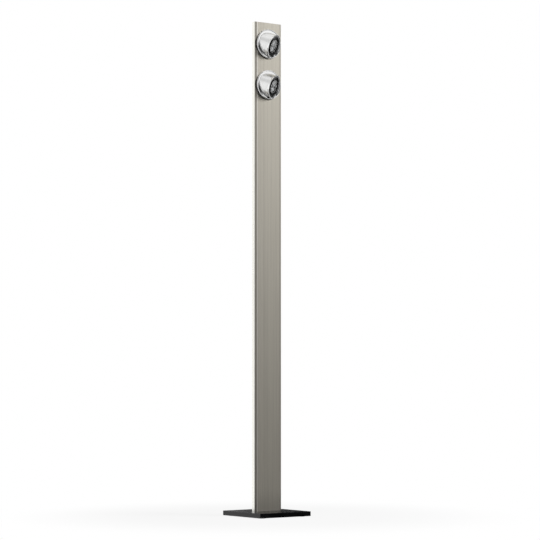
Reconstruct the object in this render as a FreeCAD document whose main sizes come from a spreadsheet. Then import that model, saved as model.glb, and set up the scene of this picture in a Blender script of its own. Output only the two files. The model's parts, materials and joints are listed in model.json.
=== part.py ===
# Floor lamp: a square base plate, a tall flat upright and two slanted spot heads that turn on its front.
# Millimetres. The origin is the middle of the underside, +Z is up and the front faces -Y.
import FreeCAD, Part
import Sketcher
import math
import os

os.makedirs("parts", exist_ok=True)
doc = FreeCAD.newDocument("floor_lamp")
sheet = doc.addObject("Spreadsheet::Sheet", "Sizes")

SIZES = {
    # Overall
    "lamp_height": 1800,
    "flat_fit": 0.3,
    "screw_fit": 0.05,
    "cut_overrun": 1,
    # Base plate and its pads
    "base_side": 227,
    "plate_thickness": 17,
    "plate_edge_bevel": 0.8,
    "pad_radius": 14,
    "pad_thickness": 2.5,
    "pad_proud": 1.5,
    "pad_inset": 26,
    # Screws from below, which hold the foot block
    "base_screw_spacing": 70,
    "base_screw_radius": 3,
    "base_screw_head_radius": 5,
    "base_screw_head_height": 6,
    "base_screw_bite": 18,
    "counterbore_depth": 7,
    # Upright: a solid front panel in a rear channel
    "upright_width": 120,
    "upright_depth": 17,
    "panel_thickness": 5,
    "bevel_width": 8,
    "bevel_drop": 2,
    "channel_wall": 2,
    "rib_inset": 4.5,
    "rib_thickness": 2,
    "rib_depth": 5,
    "hook_reach": 1,
    "hook_thickness": 1.5,
    "channel_hook_reach": 1.7,
    "rib_relief_radius": 57.6,
    # Foot block in the bottom of the channel
    "block_width": 100,
    "block_height": 45,
    "foot_screw_spacing": 36,
    "foot_screw_height": 27,
    # Small screws of the upright
    "small_screw_radius": 1.5,
    "small_screw_head_radius": 2.8,
    "small_screw_head_height": 1.8,
    "small_screw_length": 5,
    "foot_screw_radius": 2,
    "foot_screw_head_radius": 3.8,
    "foot_screw_head_height": 2.2,
    "foot_screw_length": 8,
    # Top cap
    "cap_thickness": 8,
    "cap_screw_spacing": 80,
    # Wiring space at the back
    "opening_width": 76,
    "opening_length": 200,
    "opening_lift": 102,
    "cover_lap": 7,
    "cover_thickness": 1.5,
    "cover_screw_inset": 3.5,
    "cover_screw_drop": 12,
    # Driver, its straps and the terminal block
    "driver_width": 40,
    "driver_length": 160,
    "driver_thickness": 8,
    "driver_lift": 122,
    "driver_edge": 1,
    "strap_thickness": 0.8,
    "strap_width": 12,
    "strap_foot": 9,
    "strap_inset": 25,
    "terminal_width": 24,
    "terminal_length": 16,
    "terminal_thickness": 7,
    "terminal_lift": 82,
    "terminal_pitch": 7,
    "terminal_hole_radius": 1.3,
    "terminal_hole_depth": 5,
    "wire_radius": 1,
    "wire_spacing": 10,
    # Cable gland
    "gland_lift": 62,
    "gland_bore_radius": 3.2,
    "gland_thread_radius": 5.9,
    "gland_hex_radius": 8.5,
    "gland_hex_thickness": 3,
    "gland_dome_radius": 6.8,
    "gland_dome_length": 7,
    "gland_nut_thickness": 2.5,
    "gland_thread_length": 6,
    # Low-voltage cables inside the upright
    "cable_radius": 1.2,
    "cable_wall_gap": 0.2,
    "cable_spacing": 6,
    "cable_bend": 2.2,
    "cable_shift_low": 62,
    "cable_shift_high": 32,
    "clip_width": 16,
    "clip_height": 10,
    "clip_cover": 1,
    # Head places: the turn is counted from a head that points straight down
    "head_drop": 78,
    "head_pitch": 150,
    "upper_turn": 52.5,
    "lower_turn": 57.5,
    "head_tilt": 34,
    # Rosette: a ring on the panel and the cup behind it
    "ring_radius": 53.7,
    "ring_proud": 7,
    "ring_bore_radius": 50.5,
    "ring_outer_round": 2,
    "ring_inner_round": 0.8,
    "cup_wall": 1.2,
    "panel_hole_gap": 0.3,
    "cup_floor_thickness": 2,
    "cup_floor_depth": 7.5,
    "cup_nut_thickness": 3.5,
    "cup_nut_radius": 56.5,
    # Turntable and pivot
    "running_gap": 0.05,
    "washer_thickness": 0.5,
    "washer_radius": 30,
    "turntable_thickness": 2,
    "turntable_gap": 0.6,
    "pivot_radius": 7,
    "pivot_bore_radius": 4,
    "pivot_nut_thickness": 2,
    "pivot_nut_radius": 12,
    "spring_washer_thickness": 0.6,
    "spring_washer_radius": 13,
    # Stop: a pin in the cup runs in a ring groove of the turntable, between the ends of a lug
    "stop_radius": 38,
    "stop_pin_radius": 1.5,
    "stop_groove_width": 4,
    "stop_groove_depth": 1.2,
    "stop_lug_angle": 15,
    # Slanted housing
    "mouth_reach": 28,
    "axis_sink": 3,
    "mouth_radius": 42.4,
    "rim_radius": 43.4,
    "rim_length": 1.4,
    "rim_flare": 4,
    "drum_radius": 42,
    "drum_wall": 1.6,
    "collar_gap": 0.4,
    "collar_proud": 5.2,
    "collar_wall": 1.5,
    "boss_radius": 3.4,
    "boss_height": 8,
    "boss_circle_radius": 45.8,
    # Screws under the turntable
    "tiny_screw_radius": 1,
    "tiny_screw_head_radius": 2,
    "tiny_screw_head_height": 1,
    "tiny_screw_length": 5,
    "sink_screw_back": 14,
    "sink_screw_spacing": 24,
    # Optics, measured from the mouth along the slanted axis
    "bezel_width": 4,
    "bezel_thickness": 1.6,
    "bezel_set_in": 0.3,
    "baffle_thickness": 1,
    "baffle_depth": 11,
    "optic_set_in": 2.5,
    "optic_ring_radius": 23.5,
    "optic_ring_lip": 1.5,
    "optic_ring_lip_thickness": 1,
    "optic_ring_length": 10,
    "lens_radius": 21.8,
    "lens_thickness": 2.2,
    "lens_crown": 0.9,
    "reflector_mouth_radius": 20.6,
    "reflector_throat_radius": 7,
    "reflector_depth": 11.5,
    "reflector_wall": 0.8,
    "module_radius": 10,
    "module_thickness": 1.6,
    "die_radius": 5,
    "die_thickness": 0.6,
    "sink_radius": 24,
    "sink_fin_gap": 2,
    "sink_fin_pitch": 4.5,
    "sink_fin_depth": 6,
    "lead_hole_radius": 1.8,
}
for row, (alias, value) in enumerate(SIZES.items(), start=1):
    sheet.set(f"A{row}", alias)
    sheet.set(f"B{row}", str(value))
    sheet.setAlias(f"B{row}", alias)
doc.recompute()

# Lengths that follow from the sheet, written as expressions
BASE_TOP = "(Sizes.pad_proud + Sizes.plate_thickness)"
FRONT = "(-Sizes.upright_depth / 2)"
PANEL_BACK = f"({FRONT} + Sizes.panel_thickness)"
REAR = "(Sizes.upright_depth / 2)"
REAR_INSIDE = f"({REAR} - Sizes.channel_wall)"
HALF_WIDTH = "(Sizes.upright_width / 2)"
INSIDE_HALF = f"({HALF_WIDTH} - Sizes.channel_wall)"
RIB_OUT = f"({HALF_WIDTH} - Sizes.rib_inset)"
RIB_IN = f"({RIB_OUT} - Sizes.rib_thickness)"
RIB_END = f"({PANEL_BACK} + Sizes.rib_depth)"
UPRIGHT_LENGTH = f"(Sizes.lamp_height - {BASE_TOP})"
UPPER_HEIGHT = "(Sizes.lamp_height - Sizes.head_drop)"
LOWER_HEIGHT = f"({UPPER_HEIGHT} - Sizes.head_pitch)"
CABLE_Y = f"({REAR_INSIDE} - Sizes.cable_wall_gap - Sizes.cable_radius)"

nodes = []


def value_of(expression):
    """The number that an expression of the sheet has now."""
    result = sheet.evalExpression(expression)
    return float(getattr(result, "Value", result))


def place(x="0", y="0", z="0", yaw="0", pitch="0", roll="0"):
    """An expression for a placement from a position and three turns."""
    vector = f"create(<<vector>>; {x}; {y}; {z})"
    return f"create(<<placement>>; {vector}; create(<<rotation>>; {yaw}; {pitch}; {roll}))"


def keep(piece, label, where=None):
    """Names a finished piece, puts it in its place and lists it as a node."""
    piece.Label = label
    if where:
        piece.setExpression("Placement", where)
    nodes.append(piece)
    return piece


# Bodies, sketches and features
def new_body(label, where=None):
    return keep(doc.addObject("PartDesign::Body", "body_" + label), label, where)


def new_sketch(body, role, lift="0"):
    """A sketch on one of the body's origin planes, lifted along the plane's normal."""
    sketch = body.newObject("Sketcher::SketchObject", "sketch")
    plane = next(f for f in body.Origin.OriginFeatures if f.Role == role)
    sketch.AttachmentSupport = [(plane, "")]
    sketch.MapMode = "FlatFace"
    sketch.setExpression("AttachmentOffset.Base.z", lift)
    return sketch


def pin_point(sketch, geometry, end, x, y):
    """Ties one point of a sketch to its two coordinates."""
    for kind, axis, text in (("DistanceX", -2, x), ("DistanceY", -1, y)):
        amount = value_of(text)
        if text == "0":
            sketch.addConstraint(Sketcher.Constraint("PointOnObject", geometry, end, axis))
            continue
        number = sketch.addConstraint(Sketcher.Constraint(kind, -1, 1, geometry, end, amount))
        sketch.setExpression(f"Constraints[{number}]", text)


def outline(sketch, points):
    """A closed outline of straight lines through points given as pairs of expressions."""
    corners = [FreeCAD.Vector(value_of(x), value_of(y), 0) for x, y in points]
    first = sketch.GeometryCount
    count = len(points)
    for i in range(count):
        sketch.addGeometry(Part.LineSegment(corners[i], corners[(i + 1) % count]), False)
    for i in range(count):
        following = first + (i + 1) % count
        sketch.addConstraint(Sketcher.Constraint("Coincident", first + i, 2, following, 1))
    for i, (x, y) in enumerate(points):
        pin_point(sketch, first + i, 1, x, y)


def rectangle(sketch, left, bottom, right, top):
    outline(sketch, [(left, bottom), (right, bottom), (right, top), (left, top)])


def circle(sketch, x, y, radius):
    centre = FreeCAD.Vector(value_of(x), value_of(y), 0)
    amount = value_of(radius)
    number = sketch.addGeometry(Part.Circle(centre, FreeCAD.Vector(0, 0, 1), amount), False)
    pin_point(sketch, number, 3, x, y)
    size = sketch.addConstraint(Sketcher.Constraint("Radius", number, amount))
    sketch.setExpression(f"Constraints[{size}]", radius)


def pad(body, sketch, length, name="pad", reverse=False):
    feature = body.newObject("PartDesign::Pad", name)
    feature.Profile = sketch
    feature.Reversed = reverse
    feature.setExpression("Length", length)
    return feature


def pocket(body, sketch, depth, reverse=False):
    """Cuts a sketch out of the body, and refuses a cut that takes nothing away."""
    doc.recompute()
    before = body.Shape.Volume
    feature = body.newObject("PartDesign::Pocket", "pocket")
    feature.Profile = sketch
    feature.Reversed = reverse
    feature.setExpression("Length", depth)
    doc.recompute()
    if math.isclose(body.Shape.Volume, before, rel_tol=1e-9):
        raise ValueError(f"a pocket of {body.Label} cuts nothing")
    return feature


def turned(label, points, where=None):
    """A body turned about its own Z axis from an outline of radii and heights."""
    body = new_body(label, where)
    sketch = new_sketch(body, "XZ_Plane")
    outline(sketch, points)
    feature = body.newObject("PartDesign::Revolution", "revolution")
    feature.Profile = sketch
    feature.ReferenceAxis = (sketch, ["V_Axis"])
    feature.Angle = 360
    return body


def soften(body, kind, amount, wanted):
    """Rounds or bevels the edges for which wanted(edge) holds."""
    doc.recompute()
    base = body.Tip
    edges = [f"Edge{i}" for i, e in enumerate(base.Shape.Edges, start=1) if wanted(e)]
    if not edges:
        raise ValueError(f"no edge to soften on {body.Label}")
    feature = body.newObject("PartDesign::" + kind, kind.lower())
    feature.Base = (base, edges)
    feature.setExpression("Radius" if kind == "Fillet" else "Size", amount)
    return feature


def at_circle(radius, height):
    """A test for a round edge about Z with that radius at that height."""
    wanted_radius = value_of(radius)
    wanted_height = value_of(height)

    def test(edge):
        curve = edge.Curve
        if not isinstance(curve, Part.Circle):
            return False
        same_radius = math.isclose(curve.Radius, wanted_radius, rel_tol=1e-6)
        return same_radius and math.isclose(curve.Center.z, wanted_height, rel_tol=1e-6, abs_tol=1e-6)

    return test


# Primitives and booleans
def primitive(kind, where, **sizes):
    shape = doc.addObject("Part::" + kind, kind.lower())
    for name, text in sizes.items():
        shape.setExpression(name, text)
    if where:
        shape.setExpression("Placement", where)
    return shape


def cylinder(radius, height, where=None):
    return primitive("Cylinder", where, Radius=radius, Height=height)


def box(length, width, height, where=None):
    return primitive("Box", where, Length=length, Width=width, Height=height)


def hexagon(radius, height, where=None):
    """A six-sided prism, sized by the circle through its corners."""
    shape = primitive("Prism", where, Circumradius=radius, Height=height)
    shape.Polygon = 6
    return shape


def cut(base, *tools):
    for tool in tools:
        result = doc.addObject("Part::Cut", "cut")
        result.Base = base
        result.Tool = tool
        base = result
    return base


def common(*shapes):
    result = doc.addObject("Part::MultiCommon", "common")
    result.Shapes = list(shapes)
    return result


def fuse(*shapes):
    result = doc.addObject("Part::MultiFuse", "fuse")
    result.Shapes = list(shapes)
    return result


def group(*shapes):
    result = doc.addObject("Part::Compound", "group")
    result.Links = list(shapes)
    return result


def screw(size, length, where):
    """A cap screw with a hexagon socket: head above its own Z = 0, shank below."""
    head = cylinder(f"Sizes.{size}_head_radius", f"Sizes.{size}_head_height")
    shank = cylinder(f"Sizes.{size}_radius", length, place(z=f"-({length})"))
    depth = f"Sizes.{size}_head_height / 2"
    socket = hexagon(f"Sizes.{size}_head_radius / 2", f"{depth} + Sizes.cut_overrun", place(z=depth))
    made = cut(fuse(head, shank), socket)
    made.setExpression("Placement", where)
    return made


# Base plate, with its pad recesses and the counterbored holes of the base screws
BLOCK_FRONT = f"({PANEL_BACK} + Sizes.flat_fit)"
BLOCK_MIDDLE = f"(({BLOCK_FRONT} + {REAR_INSIDE}) / 2)"
PAD_SPOT = "(Sizes.base_side / 2 - Sizes.pad_inset)"
PAD_RECESS = "(Sizes.pad_thickness - Sizes.pad_proud)"
CORNERS = [(sx, sy) for sx in ("-", "") for sy in ("-", "")]


def make_base():
    plate = new_body("base_plate")
    sketch = new_sketch(plate, "XY_Plane", "Sizes.pad_proud")
    half = "Sizes.base_side / 2"
    rectangle(sketch, f"-{half}", f"-{half}", half, half)
    pad(plate, sketch, "Sizes.plate_thickness")
    top = value_of(BASE_TOP)
    bottom = value_of("Sizes.pad_proud")

    def outer_edge(edge):
        box_of = edge.BoundBox
        flat = math.isclose(box_of.ZMin, box_of.ZMax, abs_tol=1e-6)
        return flat and (math.isclose(box_of.ZMin, top) or math.isclose(box_of.ZMin, bottom))

    soften(plate, "Chamfer", "Sizes.plate_edge_bevel", outer_edge)
    recesses = new_sketch(plate, "XY_Plane", "Sizes.pad_proud")
    for sx, sy in CORNERS:
        circle(recesses, sx + PAD_SPOT, sy + PAD_SPOT, "Sizes.pad_radius + Sizes.flat_fit")
    pocket(plate, recesses, PAD_RECESS, reverse=True)
    for radius, depth in (
        ("Sizes.base_screw_radius + Sizes.flat_fit", "Sizes.plate_thickness"),
        ("Sizes.base_screw_head_radius + Sizes.flat_fit", "Sizes.counterbore_depth"),
    ):
        holes = new_sketch(plate, "XY_Plane", "Sizes.pad_proud")
        for side in ("-", ""):
            circle(holes, f"{side}Sizes.base_screw_spacing / 2", BLOCK_MIDDLE, radius)
        pocket(plate, holes, depth, reverse=True)

    pads = [
        cylinder("Sizes.pad_radius", "Sizes.pad_thickness", place(sx + PAD_SPOT, sy + PAD_SPOT))
        for sx, sy in CORNERS
    ]
    keep(group(*pads), "foot_pads")
    seat = "Sizes.pad_proud + Sizes.counterbore_depth"
    length = "Sizes.plate_thickness - Sizes.counterbore_depth + Sizes.base_screw_bite"
    screws = [
        screw("base_screw", length,
              place(f"{side}Sizes.base_screw_spacing / 2", BLOCK_MIDDLE, seat, roll="180"))
        for side in ("-", "")
    ]
    keep(group(*screws), "base_screws")


# Front panel: bevelled down both long edges, with two hooked ribs behind it
def mirrored(half):
    """Points of the right half, from front to back, with their mirror images, as one closed outline."""
    left = [(f"-{x}", y) for x, y in reversed(half)]
    return half + left


def make_front_panel():
    panel = new_body("front_panel")
    sketch = new_sketch(panel, "XY_Plane", BASE_TOP)
    outline(
        sketch,
        mirrored(
            [
                (f"({HALF_WIDTH} - Sizes.bevel_width)", FRONT),
                (HALF_WIDTH, f"{FRONT} + Sizes.bevel_drop"),
                (HALF_WIDTH, PANEL_BACK),
                (RIB_OUT, PANEL_BACK),
                (RIB_OUT, f"{RIB_END} - Sizes.hook_thickness"),
                (f"({RIB_OUT} + Sizes.hook_reach)", f"{RIB_END} - Sizes.hook_thickness"),
                (f"({RIB_OUT} + Sizes.hook_reach)", RIB_END),
                (RIB_IN, RIB_END),
                (RIB_IN, PANEL_BACK),
            ]
        ),
    )
    pad(panel, sketch, UPRIGHT_LENGTH)
    holes = new_sketch(panel, "XZ_Plane", f"-{FRONT}")
    for height in (UPPER_HEIGHT, LOWER_HEIGHT):
        circle(holes, "0", height, "Sizes.ring_bore_radius + Sizes.cup_wall + Sizes.panel_hole_gap")
    pocket(panel, holes, "Sizes.panel_thickness")
    reliefs = new_sketch(panel, "XZ_Plane", f"-{PANEL_BACK}")
    for height in (UPPER_HEIGHT, LOWER_HEIGHT):
        circle(reliefs, "0", height, "Sizes.rib_relief_radius")
    pocket(panel, reliefs, "Sizes.rib_depth")
    strap_holes = new_sketch(panel, "XZ_Plane", f"-{PANEL_BACK}")
    for x, z in strap_screw_spots():
        circle(strap_holes, x, z, "Sizes.small_screw_radius + Sizes.screw_fit")
    pocket(panel, strap_holes, "Sizes.small_screw_length - Sizes.strap_thickness", reverse=True)


# Rear channel: back wall, two side walls and the hooks that catch the panel's ribs
HOOK_BACK = f"({RIB_END} - Sizes.hook_thickness - Sizes.flat_fit)"
HOOK_FRONT = f"({HOOK_BACK} - Sizes.hook_thickness)"
OPENING_LOW = f"({BASE_TOP} + Sizes.opening_lift)"
OPENING_HIGH = f"({OPENING_LOW} + Sizes.opening_length)"
GLAND_HEIGHT = f"({BASE_TOP} + Sizes.gland_lift)"
FOOT_SCREW_HEIGHT = f"({BASE_TOP} + Sizes.foot_screw_height)"
CAP_SCREW_HEIGHT = "(Sizes.lamp_height - Sizes.cap_thickness / 2)"
COVER_SCREW_X = "(Sizes.opening_width / 2 + Sizes.cover_screw_inset)"


def back_screws():
    """The places of the screws through the back wall: (size, length, x, height, seat)."""
    foot = [
        ("foot_screw", "Sizes.foot_screw_length",
         f"{side}Sizes.foot_screw_spacing / 2", FOOT_SCREW_HEIGHT, REAR)
        for side in ("-", "")
    ]
    cap = [
        ("small_screw", "Sizes.small_screw_length",
         f"{side}Sizes.cap_screw_spacing / 2", CAP_SCREW_HEIGHT, REAR)
        for side in ("-", "")
    ]
    seat = f"({REAR} + Sizes.cover_thickness)"
    length = "Sizes.cover_thickness + Sizes.channel_wall"
    heights = (f"({OPENING_LOW} + Sizes.cover_screw_drop)", f"({OPENING_HIGH} - Sizes.cover_screw_drop)")
    cover = [
        ("small_screw", length, f"{side}{COVER_SCREW_X}", height, seat)
        for side in ("-", "")
        for height in heights
    ]
    return {"foot_screws": foot, "cap_screws": cap, "cover_screws": cover}


def make_rear_channel():
    channel = new_body("rear_channel")
    sketch = new_sketch(channel, "XY_Plane", BASE_TOP)
    hook = f"({INSIDE_HALF} - Sizes.channel_hook_reach)"
    outline(
        sketch,
        mirrored(
            [
                (INSIDE_HALF, REAR_INSIDE),
                (INSIDE_HALF, HOOK_BACK),
                (hook, HOOK_BACK),
                (hook, HOOK_FRONT),
                (INSIDE_HALF, HOOK_FRONT),
                (INSIDE_HALF, PANEL_BACK),
                (HALF_WIDTH, PANEL_BACK),
                (HALF_WIDTH, REAR),
            ]
        ),
    )
    pad(channel, sketch, UPRIGHT_LENGTH)
    reliefs = new_sketch(channel, "XZ_Plane", f"-{REAR_INSIDE}")
    for height in (UPPER_HEIGHT, LOWER_HEIGHT):
        circle(reliefs, "0", height, "Sizes.rib_relief_radius")
    pocket(channel, reliefs, f"{REAR_INSIDE} - {PANEL_BACK}", reverse=True)
    opening = new_sketch(channel, "XZ_Plane", f"-{REAR}")
    rectangle(opening, "-Sizes.opening_width / 2", OPENING_LOW, "Sizes.opening_width / 2", OPENING_HIGH)
    pocket(channel, opening, "Sizes.channel_wall", reverse=True)
    holes = new_sketch(channel, "XZ_Plane", f"-{REAR}")
    circle(holes, "0", GLAND_HEIGHT, "Sizes.gland_thread_radius + Sizes.flat_fit")
    for size, _, x, height, _ in sum(back_screws().values(), []):
        circle(holes, x, height, f"Sizes.{size}_radius + Sizes.screw_fit")
    pocket(channel, holes, "Sizes.channel_wall", reverse=True)
    for name, places in back_screws().items():
        made = [screw(size, length, place(x, seat, height, roll="-90"))
                for size, length, x, height, seat in places]
        keep(group(*made), name)


# Foot block, which joins the channel to the base plate
def make_foot_block():
    block = new_body("foot_block")
    sketch = new_sketch(block, "XY_Plane", BASE_TOP)
    rectangle(sketch, "-Sizes.block_width / 2", BLOCK_FRONT, "Sizes.block_width / 2", REAR_INSIDE)
    pad(block, sketch, "Sizes.block_height")
    below = new_sketch(block, "XY_Plane", BASE_TOP)
    for side in ("-", ""):
        circle(below, f"{side}Sizes.base_screw_spacing / 2", BLOCK_MIDDLE,
               "Sizes.base_screw_radius + Sizes.screw_fit")
    pocket(block, below, "Sizes.base_screw_bite + Sizes.cut_overrun", reverse=True)
    behind = new_sketch(block, "XZ_Plane", f"-{REAR_INSIDE}")
    for side in ("-", ""):
        circle(behind, f"{side}Sizes.foot_screw_spacing / 2", FOOT_SCREW_HEIGHT,
               "Sizes.foot_screw_radius + Sizes.screw_fit")
    pocket(block, behind, "Sizes.foot_screw_length - Sizes.channel_wall + Sizes.cut_overrun", reverse=True)


# Top cap, notched round the ribs and hooks
def make_top_cap():
    cap = new_body("top_cap")
    sketch = new_sketch(cap, "XY_Plane", "Sizes.lamp_height - Sizes.cap_thickness")
    notch_x = f"({RIB_IN} - Sizes.flat_fit)"
    notch_y = f"({RIB_END} + Sizes.flat_fit)"
    side = f"({INSIDE_HALF} - Sizes.flat_fit)"
    front = f"({PANEL_BACK} + Sizes.flat_fit)"
    outline(sketch, mirrored([(notch_x, front), (notch_x, notch_y), (side, notch_y), (side, REAR_INSIDE)]))
    pad(cap, sketch, "Sizes.cap_thickness")
    holes = new_sketch(cap, "XZ_Plane", f"-{REAR_INSIDE}")
    for sign in ("-", ""):
        circle(holes, f"{sign}Sizes.cap_screw_spacing / 2", CAP_SCREW_HEIGHT,
               "Sizes.small_screw_radius + Sizes.screw_fit")
    pocket(cap, holes, "Sizes.small_screw_length - Sizes.channel_wall + Sizes.cut_overrun", reverse=True)


# Service cover over the wiring space
def make_service_cover():
    cover = new_body("service_cover")
    sketch = new_sketch(cover, "XZ_Plane", f"-({REAR} + Sizes.cover_thickness)")
    side = "(Sizes.opening_width / 2 + Sizes.cover_lap)"
    rectangle(sketch, f"-{side}", f"{OPENING_LOW} - Sizes.cover_lap",
              side, f"{OPENING_HIGH} + Sizes.cover_lap")
    for size, _, x, height, _ in back_screws()["cover_screws"]:
        circle(sketch, x, height, f"Sizes.{size}_radius + Sizes.screw_fit")
    pad(cover, sketch, "Sizes.cover_thickness")


# Driver on the back of the panel, with its straps, and the terminal block below it
DRIVER_LOW = f"({BASE_TOP} + Sizes.driver_lift)"
DRIVER_HIGH = f"({DRIVER_LOW} + Sizes.driver_length)"
DRIVER_BACK = f"({PANEL_BACK} + Sizes.driver_thickness)"
TERMINAL_LOW = f"({BASE_TOP} + Sizes.terminal_lift)"
TERMINAL_HIGH = f"({TERMINAL_LOW} + Sizes.terminal_length)"
STRAP_HEIGHTS = (f"({DRIVER_LOW} + Sizes.strap_inset)", f"({DRIVER_HIGH} - Sizes.strap_inset)")
STRAP_SIDE = "(Sizes.driver_width / 2 + Sizes.flat_fit + Sizes.strap_thickness)"


def strap_screw_spots():
    x = f"({STRAP_SIDE} + Sizes.strap_foot / 2)"
    return [(sign + x, height) for sign in ("-", "") for height in STRAP_HEIGHTS]


def make_driver():
    driver = new_body("led_driver")
    sketch = new_sketch(driver, "XY_Plane", DRIVER_LOW)
    rectangle(sketch, "-Sizes.driver_width / 2", PANEL_BACK, "Sizes.driver_width / 2", DRIVER_BACK)
    pad(driver, sketch, "Sizes.driver_length")
    length = value_of("Sizes.driver_length")
    soften(driver, "Fillet", "Sizes.driver_edge",
           lambda e: math.isclose(e.BoundBox.ZLength, length, rel_tol=1e-6))

    straps = new_body("driver_straps")
    straps.AllowCompound = True
    inside_x = f"({STRAP_SIDE} - Sizes.strap_thickness)"
    inside_y = f"({DRIVER_BACK} + Sizes.flat_fit)"
    foot_y = f"({PANEL_BACK} + Sizes.strap_thickness)"
    foot_x = f"({STRAP_SIDE} + Sizes.strap_foot)"
    back_y = f"({inside_y} + Sizes.strap_thickness)"
    for height in STRAP_HEIGHTS:
        bend = new_sketch(straps, "XY_Plane", f"{height} - Sizes.strap_width / 2")
        half = [(inside_x, inside_y), (inside_x, PANEL_BACK), (foot_x, PANEL_BACK), (foot_x, foot_y),
                (STRAP_SIDE, foot_y), (STRAP_SIDE, back_y)]
        outline(bend, mirrored(half))
        pad(straps, bend, "Sizes.strap_width")
    holes = new_sketch(straps, "XZ_Plane", f"-{foot_y}")
    for x, z in strap_screw_spots():
        circle(holes, x, z, "Sizes.small_screw_radius + Sizes.screw_fit")
    pocket(straps, holes, "Sizes.strap_thickness", reverse=True)
    screws = [screw("small_screw", "Sizes.small_screw_length", place(x, foot_y, z, roll="-90"))
              for x, z in strap_screw_spots()]
    keep(group(*screws), "strap_screws")


def make_terminal_block():
    block = new_body("terminal_block")
    sketch = new_sketch(block, "XY_Plane", TERMINAL_LOW)
    back = f"({PANEL_BACK} + Sizes.terminal_thickness)"
    rectangle(sketch, "-Sizes.terminal_width / 2", PANEL_BACK, "Sizes.terminal_width / 2", back)
    pad(block, sketch, "Sizes.terminal_length")
    holes = new_sketch(block, "XZ_Plane", f"-{back}")
    for x in ("-Sizes.terminal_pitch", "0", "Sizes.terminal_pitch"):
        for end in ("", "3 * "):
            circle(holes, x, f"{TERMINAL_LOW} + {end}Sizes.terminal_length / 4", "Sizes.terminal_hole_radius")
    pocket(block, holes, "Sizes.terminal_hole_depth", reverse=True)
    wires = [
        cylinder("Sizes.wire_radius", f"{DRIVER_LOW} - {TERMINAL_HIGH}",
                 place(f"{sign}Sizes.wire_spacing / 2", f"({PANEL_BACK} + Sizes.terminal_thickness / 2)",
                       TERMINAL_HIGH))
        for sign in ("-", "")
    ]
    keep(group(*wires), "driver_wires")


# Cable gland in the back wall, with its nut inside
def make_gland():
    thread = "Sizes.gland_thread_radius"
    inner_end = f"({REAR} - Sizes.gland_thread_length)"
    stem = cylinder(thread, "Sizes.gland_thread_length", place(y=inner_end, z=GLAND_HEIGHT, roll="-90"))
    flange = hexagon("Sizes.gland_hex_radius", "Sizes.gland_hex_thickness",
                     place(y=REAR, z=GLAND_HEIGHT, roll="-90"))
    outside = f"({REAR} + Sizes.gland_hex_thickness)"
    dome = cylinder("Sizes.gland_dome_radius", "Sizes.gland_dome_length",
                    place(y=outside, z=GLAND_HEIGHT, roll="-90"))
    total = "Sizes.gland_thread_length + Sizes.gland_hex_thickness + Sizes.gland_dome_length"
    bore = cylinder("Sizes.gland_bore_radius", f"{total} + 2 * Sizes.cut_overrun",
                    place(y=f"{inner_end} - Sizes.cut_overrun", z=GLAND_HEIGHT, roll="-90"))
    keep(cut(fuse(stem, flange, dome), bore), "cable_gland")
    nut_start = f"({REAR_INSIDE} - Sizes.gland_nut_thickness)"
    nut = hexagon("Sizes.gland_hex_radius", "Sizes.gland_nut_thickness",
                  place(y=nut_start, z=GLAND_HEIGHT, roll="-90"))
    hole = cylinder(f"{thread} + Sizes.screw_fit", "Sizes.gland_nut_thickness + 2 * Sizes.cut_overrun",
                    place(y=f"{nut_start} - Sizes.cut_overrun", z=GLAND_HEIGHT, roll="-90"))
    keep(cut(nut, hole), "gland_nut")


# Low-voltage cables, from the driver up to the pivot of each head
def tube_along(points, bends, radius):
    """A round tube along straight runs joined by tangent arcs."""
    edges = []
    start = points[0]
    for corner, following, bend in zip(points[1:-1], points[2:], bends):
        into = (corner - start).normalize()
        out = (following - corner).normalize()
        half_turn = into.getAngle(out) / 2
        reach = bend * math.tan(half_turn)
        first = corner - into * reach
        last = corner + out * reach
        towards = (out - into).normalize()
        centre = corner + towards * (bend / math.cos(half_turn))
        middle = centre - towards * bend
        edges.append(Part.LineSegment(start, first).toShape())
        edges.append(Part.Arc(first, middle, last).toShape())
        start = last
    edges.append(Part.LineSegment(start, points[-1]).toShape())
    path = Part.Wire(edges)
    direction = (points[1] - points[0]).normalize()
    section = Part.Wire([Part.Circle(points[0], direction, radius).toShape()])
    return path.makePipeShell([section], True, False), path.Length


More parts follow.
